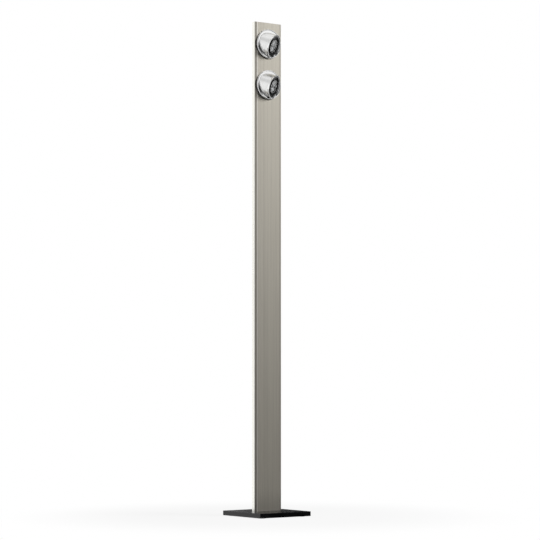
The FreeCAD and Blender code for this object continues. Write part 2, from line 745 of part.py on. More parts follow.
def make_cables():
    y_run = value_of(CABLE_Y)
    y_pivot = value_of(f"{FRONT} + Sizes.cup_floor_depth + Sizes.cup_floor_thickness")
    low = value_of(DRIVER_HIGH)
    radius = value_of("Sizes.cable_radius")
    tight = value_of("Sizes.cable_bend")
    aside = value_of("Sizes.cable_spacing")
    upper = value_of(UPPER_HEIGHT)
    lower = value_of(LOWER_HEIGHT)
    shift_high = upper - value_of("Sizes.cable_shift_high")
    shift_low = upper - value_of("Sizes.cable_shift_low")
    vector = FreeCAD.Vector
    lean = math.atan2(aside, shift_high - shift_low)
    bend_share = 0.45
    wide = bend_share * (shift_high - shift_low) / math.tan(lean / 2)
    bend_high = min(wide, bend_share * (upper - shift_high) / math.tan(lean / 2))
    routes = {
        "lower_cable": ([vector(0, y_pivot, lower), vector(0, y_run, lower), vector(0, y_run, low)], [tight]),
        "upper_cable": (
            [
                vector(0, y_pivot, upper),
                vector(0, y_run, upper),
                vector(0, y_run, shift_high),
                vector(aside, y_run, shift_low),
                vector(aside, y_run, low),
            ],
            [tight, bend_high, wide],
        ),
    }
    for label, (points, bends) in routes.items():
        cable = doc.addObject("Part::Feature", "cable")
        cable.Shape, length = tube_along(points, bends, radius)
        print(label, "radii", [round(b, 1) for b in bends],
              "volume share", round(cable.Shape.Volume / (math.pi * radius**2 * length), 4))
        keep(cable, label)
    clips = []
    depth = "(2 * Sizes.cable_radius + Sizes.cable_wall_gap + Sizes.clip_cover)"
    for step in ("1", "2", "3"):
        height = f"({OPENING_HIGH} + ({LOWER_HEIGHT} - {OPENING_HIGH}) * {step} / 4)"
        body = box("Sizes.clip_width", depth, "Sizes.clip_height",
                   place("(Sizes.cable_spacing - Sizes.clip_width) / 2", f"{REAR_INSIDE} - {depth}", height))
        bores = [
            cylinder("Sizes.cable_radius + Sizes.screw_fit", "Sizes.clip_height + 2 * Sizes.cut_overrun",
                     place(x, CABLE_Y, f"{height} - Sizes.cut_overrun"))
            for x in ("0", "Sizes.cable_spacing")
        ]
        clips.append(cut(body, *bores))
    keep(group(*clips), "cable_clips")


# Spot head, in a frame of its own: Z points out of the panel, X to the side that the head slants to
CUP_RADIUS = "(Sizes.ring_bore_radius + Sizes.cup_wall)"
FLOOR_TOP = "(-Sizes.cup_floor_depth)"
FLOOR_BOTTOM = f"({FLOOR_TOP} - Sizes.cup_floor_thickness)"
TABLE_BOTTOM = f"({FLOOR_TOP} + Sizes.washer_thickness)"
TABLE_TOP = f"({TABLE_BOTTOM} + Sizes.turntable_thickness)"
NUT_TOP = f"({FLOOR_BOTTOM} - Sizes.spring_washer_thickness)"
NUT_BOTTOM = f"({NUT_TOP} - Sizes.pivot_nut_thickness)"
PIVOT_HOLE = "(Sizes.pivot_radius + Sizes.running_gap)"
COLLAR_RADIUS = "(Sizes.ring_bore_radius - Sizes.collar_gap)"
CAVITY_RADIUS = f"({COLLAR_RADIUS} - Sizes.collar_wall)"
MOUTH_X = "(Sizes.mouth_reach * sin(Sizes.head_tilt))"
MOUTH_Z = "(Sizes.mouth_reach * cos(Sizes.head_tilt) - Sizes.axis_sink)"
DRUM_BORE = "(Sizes.drum_radius - Sizes.drum_wall)"
BEZEL_BACK = "(Sizes.bezel_set_in + Sizes.bezel_thickness)"
HEAD_TALL = "(2 * Sizes.ring_radius)"


def along_axis(depth):
    """The place on the slanted axis that lies that deep behind the mouth, turned to the axis."""
    x = f"{MOUTH_X} - ({depth}) * sin(Sizes.head_tilt)"
    z = f"{MOUTH_Z} - ({depth}) * cos(Sizes.head_tilt)"
    return place(x, z=z, pitch="Sizes.head_tilt")


def around(angle, radius, z, **turns):
    """A place at an angle and radius about the pivot."""
    return place(f"({radius}) * cos({angle})", f"({radius}) * sin({angle})", z, **turns)


def clear_room(allowance):
    """The space inside the housing's straight wall, above the turntable."""
    return cylinder(f"{CAVITY_RADIUS} - {allowance}", HEAD_TALL, place(z=f"{TABLE_TOP} + {allowance}"))


def make_rosette(name, head, stop):
    cup = turned(
        f"{name}_rosette",
        [
            (PIVOT_HOLE, FLOOR_BOTTOM),
            (CUP_RADIUS, FLOOR_BOTTOM),
            (CUP_RADIUS, "0"),
            ("Sizes.ring_radius", "0"),
            ("Sizes.ring_radius", "Sizes.ring_proud"),
            ("Sizes.ring_bore_radius", "Sizes.ring_proud"),
            ("Sizes.ring_bore_radius", FLOOR_TOP),
            (PIVOT_HOLE, FLOOR_TOP),
        ],
        head,
    )
    soften(cup, "Fillet", "Sizes.ring_outer_round", at_circle("Sizes.ring_radius", "Sizes.ring_proud"))
    soften(cup, "Fillet", "Sizes.ring_inner_round", at_circle("Sizes.ring_bore_radius", "Sizes.ring_proud"))
    hole = new_sketch(cup, "XY_Plane", FLOOR_BOTTOM)
    x = f"Sizes.stop_radius * cos({stop})"
    y = f"Sizes.stop_radius * sin({stop})"
    circle(hole, x, y, "Sizes.stop_pin_radius + Sizes.screw_fit")
    pocket(cup, hole, "Sizes.cup_floor_thickness", reverse=True)

    groove_top = f"({TABLE_BOTTOM} + Sizes.stop_groove_depth - Sizes.flat_fit)"
    pin = cylinder("Sizes.stop_pin_radius", f"{groove_top} - {FLOOR_BOTTOM}",
                   around(stop, "Sizes.stop_radius", FLOOR_BOTTOM))
    keep(group(pin), f"{name}_stop_pin", head)

    back = "(-Sizes.panel_thickness)"
    nut_end = f"({back} - Sizes.cup_nut_thickness)"
    thread = f"({CUP_RADIUS} + Sizes.screw_fit)"
    turned(f"{name}_rosette_nut",
           [(thread, nut_end), ("Sizes.cup_nut_radius", nut_end),
            ("Sizes.cup_nut_radius", back), (thread, back)], head)
    turned(f"{name}_slide_washer",
           [(PIVOT_HOLE, FLOOR_TOP), ("Sizes.washer_radius", FLOOR_TOP),
            ("Sizes.washer_radius", TABLE_BOTTOM), (PIVOT_HOLE, TABLE_BOTTOM)], head)
    turned(f"{name}_spring_washer",
           [(PIVOT_HOLE, NUT_TOP), ("Sizes.spring_washer_radius", NUT_TOP),
            ("Sizes.spring_washer_radius", FLOOR_BOTTOM), (PIVOT_HOLE, FLOOR_BOTTOM)], head)


BOSS_ANGLES = ("90", "180", "270")
SINK_SCREWS = [("-Sizes.sink_screw_back", f"{sign}Sizes.sink_screw_spacing / 2") for sign in ("-", "")]


def make_turntable(name, head):
    disc = "(Sizes.ring_bore_radius - Sizes.turntable_gap)"
    table = turned(
        f"{name}_turntable",
        [
            ("Sizes.pivot_bore_radius", NUT_BOTTOM),
            ("Sizes.pivot_radius", NUT_BOTTOM),
            ("Sizes.pivot_radius", TABLE_BOTTOM),
            (disc, TABLE_BOTTOM),
            (disc, TABLE_TOP),
            ("Sizes.pivot_bore_radius", TABLE_TOP),
        ],
        head,
    )
    groove = new_sketch(table, "XZ_Plane")
    groove.setExpression("AttachmentOffset", place(pitch="180 + Sizes.stop_lug_angle / 2"))
    low = "(Sizes.stop_radius - Sizes.stop_groove_width / 2)"
    high = "(Sizes.stop_radius + Sizes.stop_groove_width / 2)"
    rectangle(groove, low, TABLE_BOTTOM, high, f"{TABLE_BOTTOM} + Sizes.stop_groove_depth")
    doc.recompute()
    before = table.Shape.Volume
    ring = table.newObject("PartDesign::Groove", "groove")
    ring.Profile = groove
    ring.ReferenceAxis = (groove, ["V_Axis"])
    ring.setExpression("Angle", "360 - Sizes.stop_lug_angle")
    doc.recompute()
    if math.isclose(table.Shape.Volume, before, rel_tol=1e-9):
        raise ValueError("the stop groove cuts nothing")
    for radius, depth in (
        ("Sizes.tiny_screw_radius + Sizes.screw_fit", "Sizes.turntable_thickness"),
        ("Sizes.tiny_screw_head_radius + Sizes.screw_fit", "Sizes.tiny_screw_head_height + Sizes.screw_fit"),
    ):
        holes = new_sketch(table, "XY_Plane", TABLE_BOTTOM)
        for x, y in table_screw_spots():
            circle(holes, x, y, radius)
        pocket(table, holes, depth, reverse=True)
    turned(
        f"{name}_pivot_nut",
        [("Sizes.pivot_radius + Sizes.screw_fit", NUT_BOTTOM), ("Sizes.pivot_nut_radius", NUT_BOTTOM),
         ("Sizes.pivot_nut_radius", NUT_TOP), ("Sizes.pivot_radius + Sizes.screw_fit", NUT_TOP)],
        head,
    )
    seat = f"({TABLE_BOTTOM} + Sizes.tiny_screw_head_height + Sizes.screw_fit)"
    screws = [screw("tiny_screw", "Sizes.tiny_screw_length", place(x, y, seat, roll="180"))
              for x, y in table_screw_spots()]
    keep(group(*screws), f"{name}_table_screws", head)


def table_screw_spots():
    """The screws of the housing's bosses, then those of the heat sink."""
    bosses = [(f"Sizes.boss_circle_radius * cos({a})", f"Sizes.boss_circle_radius * sin({a})")
              for a in BOSS_ANGLES]
    return bosses + SINK_SCREWS


def tapped_holes(spots):
    """The threaded holes above the turntable for the screws at those places."""
    radius = "Sizes.tiny_screw_radius + Sizes.screw_fit"
    depth = "Sizes.tiny_screw_length + Sizes.cut_overrun"
    low = f"{TABLE_TOP} - Sizes.cut_overrun"
    return [cylinder(radius, depth, place(x, y, low)) for x, y in spots]


def make_housing(name, head):
    """A straight collar with a slanted drum through it, flared at the mouth and hollowed."""
    slanted = fuse(
        cylinder("Sizes.drum_radius", HEAD_TALL, along_axis(HEAD_TALL)),
        cylinder("Sizes.rim_radius", "Sizes.rim_length", along_axis("Sizes.rim_length")),
        primitive("Cone", along_axis("Sizes.rim_length + Sizes.rim_flare"), Radius1="Sizes.drum_radius",
                  Radius2="Sizes.rim_radius", Height="Sizes.rim_flare"),
    )
    envelope = cylinder(COLLAR_RADIUS, HEAD_TALL, place(z=TABLE_TOP))
    collar = cylinder(COLLAR_RADIUS, f"Sizes.collar_proud - {TABLE_TOP}", place(z=TABLE_TOP))
    beyond = cylinder(f"2 * {HEAD_TALL}", HEAD_TALL, along_axis("0"))
    bore = fuse(
        cylinder(DRUM_BORE, f"{HEAD_TALL} + Sizes.cut_overrun", along_axis(HEAD_TALL)),
        cylinder("Sizes.mouth_radius", f"{BEZEL_BACK} + Sizes.cut_overrun", along_axis(BEZEL_BACK)),
    )
    inside = cylinder(CAVITY_RADIUS, f"{HEAD_TALL}", place(z=f"{TABLE_TOP} - Sizes.cut_overrun"))
    shell = cut(fuse(common(slanted, envelope), collar), common(bore, inside), beyond)
    spots = table_screw_spots()[: len(BOSS_ANGLES)]
    bosses = [cylinder("Sizes.boss_radius", "Sizes.boss_height", place(x, y, TABLE_TOP)) for x, y in spots]
    kept = common(fuse(*bosses), cylinder(COLLAR_RADIUS, HEAD_TALL, place(z=TABLE_TOP)))
    keep(cut(fuse(shell, kept), *tapped_holes(spots)), f"{name}_housing", head)


MODULE_DEPTH = ("(Sizes.optic_set_in + Sizes.optic_ring_lip_thickness + Sizes.lens_thickness"
                " + Sizes.reflector_depth + Sizes.module_thickness)")


def make_heat_sink(name, head):
    column = cylinder("Sizes.sink_radius", HEAD_TALL, along_axis(f"{MODULE_DEPTH} + {HEAD_TALL}"))
    lead = cylinder("Sizes.lead_hole_radius", HEAD_TALL, place(z=TABLE_TOP))
    sink = cut(common(column, clear_room("0")), lead, *tapped_holes(SINK_SCREWS))
    slots = []
    for step in (1, 2, 3):
        for sign in ("-", ""):
            middle = f"{sign}({step} * Sizes.sink_fin_pitch + Sizes.sink_screw_spacing / 2)"
            slots.append(
                box("Sizes.sink_radius * 2", "Sizes.sink_fin_gap", HEAD_TALL,
                    place("-Sizes.sink_radius * 2 - Sizes.sink_fin_depth",
                          f"{middle} - Sizes.sink_fin_gap / 2", TABLE_TOP + " + Sizes.cut_overrun"))
            )
    keep(cut(sink, *slots), f"{name}_heat_sink", head)


def make_optics(name, head):
    optic = f"{head} * {along_axis('0')}"
    lens_front = "(-Sizes.optic_set_in - Sizes.optic_ring_lip_thickness)"
    lens_back = f"({lens_front} - Sizes.lens_thickness)"
    reflector_back = f"({lens_back} - Sizes.reflector_depth)"
    module_back = f"(-{MODULE_DEPTH})"

    # LED module, with its raised light-emitting face
    turned(
        f"{name}_led_module",
        [
            ("0", module_back),
            ("Sizes.module_radius", module_back),
            ("Sizes.module_radius", reflector_back),
            ("Sizes.die_radius", reflector_back),
            ("Sizes.die_radius", f"{reflector_back} + Sizes.die_thickness"),
            ("0", f"{reflector_back} + Sizes.die_thickness"),
        ],
        optic,
    )
    # Reflector: a curved funnel of straight stretches, wider towards the lens
    steps = 6
    inner = []
    for i in range(steps + 1):
        share = i / steps
        bulge_share = round(math.sin(share * math.pi / 2), 6)
        width = "(Sizes.reflector_mouth_radius - Sizes.reflector_throat_radius)"
        inner.append((f"Sizes.reflector_throat_radius + {width} * {bulge_share}",
                      f"{reflector_back} + Sizes.reflector_depth * {round(share, 6)}"))
    outer = [(f"{x} + Sizes.reflector_wall", z) for x, z in reversed(inner)]
    turned(f"{name}_reflector", inner + outer, optic)
    # Lens, a little crowned: halfway out a parabola keeps three quarters of its height
    lip = "(Sizes.optic_ring_radius - 2 * Sizes.optic_ring_lip)"
    turned(
        f"{name}_lens",
        [
            ("0", lens_back),
            ("Sizes.lens_radius", lens_back),
            ("Sizes.lens_radius", lens_front),
            (f"{lip} - Sizes.optic_ring_lip_thickness", lens_front),
            ("Sizes.lens_radius / 2", f"{lens_front} + Sizes.lens_crown * 3 / 4"),
            ("0", f"{lens_front} + Sizes.lens_crown"),
        ],
        optic,
    )
    # Ring that holds the lens on the reflector
    bore = "(Sizes.lens_radius + Sizes.flat_fit)"
    front = "(-Sizes.optic_set_in)"
    turned(
        f"{name}_lens_ring",
        [
            (bore, f"{front} - Sizes.optic_ring_length"),
            ("Sizes.optic_ring_radius", f"{front} - Sizes.optic_ring_length"),
            ("Sizes.optic_ring_radius", front),
            (lip, front),
            (lip, lens_front),
            (bore, lens_front),
        ],
        optic,
    )
    # Baffle: a dark stepped funnel between the lens ring and the wall
    rings = 5
    bezel_back = f"(-{BEZEL_BACK})"
    inner_radius = "(Sizes.optic_ring_radius + Sizes.flat_fit)"
    outer_radius = f"({DRUM_BORE} - Sizes.flat_fit)"
    fall = f"(Sizes.baffle_depth + {bezel_back})"
    span = f"({outer_radius} - {inner_radius})"
    face = []
    for i in range(rings):
        share = i / rings
        z = f"-Sizes.baffle_depth + {fall} * {round(share, 6)}"
        face.append((f"{inner_radius} + {span} * {round(share, 6)}", z))
        face.append((f"{inner_radius} + {span} * {round(share + 1 / rings, 6)}", z))
    face.append((outer_radius, bezel_back))
    drop = f"(Sizes.baffle_thickness + {fall} / {rings})"
    under = [(outer_radius, f"{bezel_back} - {drop}"), (inner_radius, f"-Sizes.baffle_depth - {drop}")]
    trimmed(name, "baffle", face + under, head)
    # Bezel: the black ring that closes the mouth
    turned_ring = [
        ("Sizes.mouth_radius - Sizes.flat_fit", bezel_back),
        ("Sizes.mouth_radius - Sizes.flat_fit", "-Sizes.bezel_set_in"),
        ("Sizes.mouth_radius - Sizes.bezel_width / 2", "-Sizes.bezel_set_in"),
        ("Sizes.mouth_radius - Sizes.bezel_width", bezel_back),
    ]
    trimmed(name, "bezel", turned_ring, head)


def trimmed(name, what, points, head):
    """A turned piece on the slanted axis, kept clear of the straight wall and the turntable."""
    body = doc.addObject("PartDesign::Body", "blank")
    body.setExpression("Placement", along_axis("0"))
    sketch = new_sketch(body, "XZ_Plane")
    outline(sketch, points)
    feature = body.newObject("PartDesign::Revolution", "revolution")
    feature.Profile = sketch
    feature.ReferenceAxis = (sketch, ["V_Axis"])
    feature.Angle = 360
    keep(common(body, clear_room("Sizes.flat_fit")), f"{name}_{what}", head)


def make_lead(name, head):
    top = f"({MOUTH_Z} - {MODULE_DEPTH} / cos(Sizes.head_tilt) + {MOUTH_X} * tan(Sizes.head_tilt))"
    length = f"{top} - {FLOOR_BOTTOM} - Sizes.cable_radius * (1 + tan(Sizes.head_tilt))"
    keep(cylinder("Sizes.cable_radius", length, place(z=FLOOR_BOTTOM)), f"{name}_lead",
         f"{head} * {place(z=FLOOR_BOTTOM)}")


def make_head(name, height, turn):
    """One spot head. Its slant points straight down when its turn is nought."""
    head = place(y=FRONT, z=height, pitch=f"90 - {turn}", roll="90")
    stop = f"(-{turn})"
    make_rosette(name, head, stop)
    make_turntable(name, head)
    make_housing(name, head)
    make_heat_sink(name, head)
    make_optics(name, head)
    make_lead(name, head)


make_base()
make_front_panel()
make_rear_channel()
make_foot_block()
make_top_cap()
make_service_cover()
make_driver()
make_terminal_block()
make_gland()
make_cables()
make_head("upper", UPPER_HEIGHT, "Sizes.upper_turn")
make_head("lower", LOWER_HEIGHT, "Sizes.lower_turn")
doc.recompute()

for thing in doc.Objects:
    if "Invalid" in thing.State or "Error" in thing.State:
        raise ValueError(f"{thing.Name} ({thing.Label}) failed: {thing.State}")
for node in nodes:
    if node.Shape.isNull() or not node.Shape.isValid() or not node.Shape.Solids:
        raise ValueError(f"{node.Label} has no valid solid")
for node in nodes:
    node.Shape.exportStep(f"parts/{node.Label}.step")
print(len(nodes), "nodes")
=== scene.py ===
"""Looks of the floor lamp: finishes, fine pieces and a plain studio."""

import json
import math

import bpy
import numpy as np
from mathutils import Matrix, Vector


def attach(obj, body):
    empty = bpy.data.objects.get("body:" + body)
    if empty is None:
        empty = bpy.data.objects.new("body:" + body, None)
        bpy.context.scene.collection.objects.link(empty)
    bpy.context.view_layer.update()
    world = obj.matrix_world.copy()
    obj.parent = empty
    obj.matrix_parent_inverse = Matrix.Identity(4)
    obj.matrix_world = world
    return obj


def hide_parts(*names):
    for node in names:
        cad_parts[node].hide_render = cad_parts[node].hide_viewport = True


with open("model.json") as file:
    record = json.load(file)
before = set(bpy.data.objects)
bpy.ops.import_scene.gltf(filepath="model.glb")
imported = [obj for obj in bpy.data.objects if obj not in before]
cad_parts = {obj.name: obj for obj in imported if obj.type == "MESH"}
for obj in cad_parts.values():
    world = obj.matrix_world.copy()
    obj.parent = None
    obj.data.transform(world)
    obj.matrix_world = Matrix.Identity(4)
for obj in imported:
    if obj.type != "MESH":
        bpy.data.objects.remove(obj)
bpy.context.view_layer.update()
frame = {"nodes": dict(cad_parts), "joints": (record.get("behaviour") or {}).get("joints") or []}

bl_info = {
    "name": "Two-head floor lamp looks",
    "version": (1, 0, 0),
    "blender": (4, 5, 0),
    "location": "View3D > Sidebar > Lamp",
    "description": "Finishes and fine pieces of a flat floor lamp with two turning spot heads",
    "category": "Object",
}

HEADS = ("upper", "lower")
MATERIALS = {}


# Heads, in metres and degrees

# slant of a drum's axis from its ring's axis, and its turn at rest from straight down
TILT = 34.0
TURN = {"upper": 52.5, "lower": 57.5}
# the two axes cross this far behind the joint's place, and from there it is this far to the mouth
AXIS_SINK = 0.003
MOUTH_REACH = 0.028
# radius of the rim bead, its place along the slanted axis from the mouth, and how far from the
# ring's axis the rim runs into the straight collar
RIM_REACH = 0.0429
RIM_LIFT = -0.0003
COLLAR_REACH = 0.0491
# angles at which the rim is tried, how sharply its bead thins at the two ends, and where that stops
RIM_TRIES = 721
RIM_TAPER = 24
RIM_THIN = 0.0004
# reach from the slanted axis, lift along it from the mouth, and radius of the beads inside the mouth
INNER_BEADS = {
    "stop": (0.0386, -0.0017, 0.0005),
    "optic": (0.0228, -0.0026, 0.0006),
}
BEAD_STEPS = 200
BEAD_SIDES = 16
# the reflector's radius at its neck and what that gains up to its rim, the lift of its floor and
# its climb from there, its wall, and the rows up its side
NECK_RADIUS = 0.007
BOWL_FLARE = 0.0136
BOWL_FLOOR = -0.0172
BOWL_DEPTH = 0.0115
BOWL_WALL = 0.0007
BOWL_ROWS = 7
# the lens's radius, the lifts of its edge and its flat back, and how far its middle stands up
LENS_RADIUS = 0.0217
LENS_EDGE = -0.0035
LENS_BACK = -0.0057
LENS_CROWN = 0.0009
LENS_RINGS = 60
LENS_STEPS = 180
# shares of its radius where the rings begin and the pillows end, and the waves of the pillows
LENS_MIDDLE = 0.02
PILLOWS_END = 0.93
PILLOW_RINGS = 4
PILLOW_WAVES = 6


# Soft steps on the finishes, from where each begins to where it is full, in metres

# across the panel: the left bevel, darkened as painted shade, the painted highlight beside it, the right
# bevel but for its edge, also darkened as painted shade, and the sides
LEFT_BEVEL = (-0.0512, -0.0508)
PAINTED_HIGHLIGHT_LINE = ((-0.0511, -0.0507), (-0.048, -0.0476))
RIGHT_BEVEL = ((0.0518, 0.0522), (0.0584, 0.0588))
PANEL_SIDES = (0.0597, 0.05995)
# up the panel: the foot, darkened as painted shade near the dark base
SHADED_FOOT = (0.02, 0.11)
# along the slanted axis: the edge of the mouth; towards the panel: where the collar's face begins
MOUTH_EDGE = (-0.006, -0.0052)
COLLAR = (-0.0139, -0.0136)
# the painted shade on the collar's face at the lower left of the drum: the way to it from the pivot, how
# far that way it begins, and how far from the slanted axis it ends
SHADE_WAY = (-0.6, -0.8)
SHADE_START = (0.015, 0.03)
SHADE_END = (0.0435, 0.0465)
# slope at which a face of the base counts as looking up
LOOKS_UP = (0.9, 0.99)


# Camera and studio, in metres, degrees and, for turns round the upright, radians

CAMERA_PLACE = (-4.4814, -6.0168, 0.5075)
CAMERA_PITCH = 92.944
CAMERA_HEADING = -36.7693
CAMERA_LENS = 137.259
CAMERA_SENSOR = 36.0
KEY_PLACE = (1.3, -1.7, 2.6)
KEY_AIM = (0.0, 0.0, 1.5)
KEY_SIZE = 1.0
# how far the floor reaches, its innermost ring as a share of that, its rings, and its steps round
FLOOR_REACH = 30.0
FLOOR_HOLE = 0.0002
FLOOR_RINGS = 12
FLOOR_STEPS = 64
# the left edge of what is dark in front, on the floor and round it
FRONT_LEFT = (-0.6, -0.35)


# Sizes and colours that a user may change

class FinishColours(bpy.types.PropertyGroup):
    """Colours of the lamp's finishes."""

    upright_light: bpy.props.FloatVectorProperty(
        name="Upright, light streaks",
        description="Colour of the lighter brush lines on the upright",
        default=(0.80, 0.757, 0.655),
        subtype="COLOR",
    )
    upright_dark: bpy.props.FloatVectorProperty(
        name="Upright, dark streaks",
        description="Colour of the darker brush lines on the upright",
        default=(0.66, 0.622, 0.54),
        subtype="COLOR",
    )
    channel: bpy.props.FloatVectorProperty(
        name="Channel",
        description="Colour of the pale channel behind the front panel",
        default=(1.0, 0.99, 0.93),
        subtype="COLOR",
    )
    base: bpy.props.FloatVectorProperty(
        name="Base",
        description="Colour of the lacquered base plate",
        default=(0.006, 0.006, 0.0065),
        subtype="COLOR",
    )
    polished: bpy.props.FloatVectorProperty(
        name="Polished rings",
        description="Colour of the polished metal of the heads",
        default=(0.97, 0.97, 0.97),
        subtype="COLOR",
    )
    satin: bpy.props.FloatVectorProperty(
        name="Satin drums",
        description="Colour of the satin metal of the heads",
        default=(0.93, 0.93, 0.925),
        subtype="COLOR",
    )


class HeadSizes(bpy.types.PropertyGroup):
    """Sizes of the fine pieces on the heads."""

    band_radius: bpy.props.FloatProperty(
        name="Mouth bead radius",
        description="Radius of the polished bead that runs round each mouth",
        default=0.0009,
        min=0.0003,
        max=0.002,
        unit="LENGTH",
    )
    facets: bpy.props.IntProperty(
        name="Reflector facets",
        description="Facets in one row round the reflector",
        default=14,
        min=8,
        max=96,
    )
    lens_ridge: bpy.props.FloatProperty(
        name="Lens ridge height",
        description="Height of the fine pillows on the lens",
        default=0.0006,
        min=0.0,
        max=0.001,
        unit="LENGTH",
    )


class StudioLight(bpy.types.PropertyGroup):
    """Light of the studio."""

    key_power: bpy.props.FloatProperty(
        name="Key power",
        description="Power of the large soft lamp at the upper right",
        default=54.0,
        min=0.0,
        unit="POWER",
    )
    room: bpy.props.FloatProperty(
        name="Room level",
        description="Brightness of the even light from all round",
        default=0.02,
        min=0.0,
        max=1.0,
        subtype="FACTOR",
    )


# Surfaces

def pivot_of(which):
    """Place of a head's joint, on its ring's axis."""
    return np.array(next(j["pos_m"] for j in frame["joints"] if j["name"] == f"{which}_head_turn"))


def slant_axes(which):
    """Mouth centre of a head, the way out of the mouth, and two ways across it."""
    roll = math.radians(TURN[which] - 90)
    tilt = math.radians(TILT)
    out = np.array([math.sin(tilt) * math.cos(roll), -math.cos(tilt), math.sin(tilt) * math.sin(roll)])
    across = np.cross(out, (0.0, -1.0, 0.0))
    across /= np.linalg.norm(across)
    other = np.cross(out, across)
    middle = pivot_of(which) + (0.0, AXIS_SINK, 0.0)
    return middle + MOUTH_REACH * out, out, across, other


def full_turn(steps):
    """Even steps of angle round a full turn, which ends one step before its start."""
    return np.linspace(0, 2 * np.pi, steps, endpoint=False)


def round_axis(angle, across, other):
    """One step away from the axis at each angle: cos(angle) across + sin(angle) other."""
    return np.cos(angle)[:, None] * across + np.sin(angle)[:, None] * other


def turned_points(profile, steps, centre, out, across, other):
    """A profile of (radius, lift) pairs carried round the axis: centre + lift out + radius round."""
    ring = round_axis(full_turn(steps), across, other)
    points = centre + profile[:, None, 1:] * out + profile[:, None, :1] * ring[None]
    return points.reshape(-1, 3)


def bead_points(centre, reach, angle, size, out, across, other):
    """A round section carried along a circle of a given reach: centre + reach round, and from there
    size times the section's cosine round and its sine out, with a size for every angle."""
    section = full_turn(BEAD_SIDES)
    ring = round_axis(angle, across, other)
    path = centre + reach * ring
    points = (path[:, None] + (size[:, None] * np.cos(section))[..., None] * ring[:, None]
              + (size[:, None] * np.sin(section))[..., None] * out)
    return points.reshape(-1, 3)


def rim_arc(which):
    """Angles round a mouth along its free rim, which ends at the straight collar, and how full the
    bead is there: the root of 1 - share ** taper, with the share 0 in the middle and 1 at both ends."""
    centre, _, across, other = slant_axes(which)
    angle = np.linspace(0, 2 * np.pi, RIM_TRIES)
    rim = centre + RIM_REACH * round_axis(angle, across, other)
    spread = np.linalg.norm((rim - pivot_of(which)) * (1, 0, 1), axis=1)
    middle = angle[np.argmin(spread)]
    aside = np.abs((angle - middle + np.pi) % (2 * np.pi) - np.pi)
    free = aside[spread < COLLAR_REACH].max()
    along = np.linspace(-free, free, BEAD_STEPS)
    full = np.sqrt(np.clip(1 - (np.abs(along) / free) ** RIM_TAPER, RIM_THIN, 1))
    return middle + along, full


def bowl_profile():
    """Radius and lift up the reflector's inside and back down its outside. The lift climbs evenly,
    and the radius grows from the neck as the first quarter of a sine wave."""
    rise = np.linspace(0, 1, BOWL_ROWS)
    radius = NECK_RADIUS + BOWL_FLARE * np.sin(rise * np.pi / 2)
    inner = np.stack([radius, BOWL_FLOOR + BOWL_DEPTH * rise], 1)
    outer = inner[::-1] + (BOWL_WALL, 0.0)
    return np.concatenate([inner, outer])


def lens_points(ridge, centre, out, across, other):
    """A front that is a crown plus pillows, and a flat back. The crown falls from the middle to the
    edge as 1 - share ** 2, by the share of the radius. The pillows are the product of two sine waves
    without their sign, one over that share and one over the angle, and stop short of the edge."""
    share = np.linspace(LENS_MIDDLE, 1, LENS_RINGS)
    angle = full_turn(LENS_STEPS)
    crown = LENS_CROWN * (1 - share ** 2)
    over_share = np.abs(np.sin(share * PILLOW_RINGS * np.pi))
    over_angle = np.abs(np.sin(angle * PILLOW_WAVES))
    wave = over_share[:, None] * over_angle[None]
    lift = crown[:, None] + ridge * wave * (share < PILLOWS_END)[:, None] + LENS_EDGE
    ring = round_axis(angle, across, other)
    front = centre + lift[..., None] * out + (share * LENS_RADIUS)[:, None, None] * ring[None]
    back = centre + LENS_BACK * out + (share[::-1] * LENS_RADIUS)[:, None, None] * ring[None]
    return np.concatenate([front.reshape(-1, 3), back.reshape(-1, 3)])


def floor_points():
    """A flat disc: rings whose reach grows as the cube of their number, so that they are finer near
    the lamp."""
    reach = FLOOR_REACH * (np.linspace(0, 1, FLOOR_RINGS) ** 3 + FLOOR_HOLE)
    angle = full_turn(FLOOR_STEPS)
    flat = reach[:, None, None] * np.stack([np.cos(angle), np.sin(angle)], 1)[None]
    return np.concatenate([flat.reshape(-1, 2), np.zeros((FLOOR_RINGS * FLOOR_STEPS, 1))], 1)


def grid_faces(rows, columns, loop=False):
    """Quads of a grid whose columns close on themselves, and its rows too in a loop."""
    i = np.arange(rows if loop else rows - 1)[:, None]
    j = np.arange(columns)[None, :]
    below = (i + 1) % rows * columns
    beside = (j + 1) % columns
    quads = np.stack([i * columns + j, below + j, below + beside, i * columns + beside], -1)
    return quads.reshape(-1, 4).tolist()


def capped_faces(rows, columns):
    """The same quads, closed by one face over the first row and one over the last."""
    first = list(range(columns))
    last = list(range(rows * columns - 1, (rows - 1) * columns - 1, -1))
    return grid_faces(rows, columns) + [first, last]


def new_object(name, points, faces):
    """An object at the origin, with its points and faces in its mesh."""
    mesh = bpy.data.meshes.new(name)
    mesh.from_pydata(points.tolist(), [], faces)
    thing = bpy.data.objects.new(name, mesh)
    bpy.context.scene.collection.objects.link(thing)
    return thing


def make_piece(name, points, faces, body, slot, smooth=True):
    """Makes a piece that rides on a body and has its slot's finish."""
    piece = new_object(name, points, faces)
    mesh = piece.data
    mesh.validate()
    mesh.polygons.foreach_set("use_smooth", [smooth] * len(mesh.polygons))
    mesh.materials.append(MATERIALS[SLOT_FINISH[slot]])
    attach(piece, body)
    return piece


# Shader nodes

def link_or_set(tree, socket, value):
    """Feeds an input from a socket, or sets it to a number, a vector or a colour."""
    if isinstance(value, bpy.types.NodeSocket):
        tree.links.new(value, socket)
    elif socket.type == "RGBA":
        socket.default_value = (*value[:3], 1.0)
    else:
        socket.default_value = value


def math_node(tree, operation, first, second=None, clamp=False):
    """A Math node whose inputs are sockets or numbers."""
    node = tree.nodes.new("ShaderNodeMath")
    node.operation = operation
    node.use_clamp = clamp
    link_or_set(tree, node.inputs[0], first)
    if second is not None:
        link_or_set(tree, node.inputs[1], second)
    return node.outputs[0]


def times(tree, first, second):
    """The product of two values."""
    return math_node(tree, "MULTIPLY", first, second)


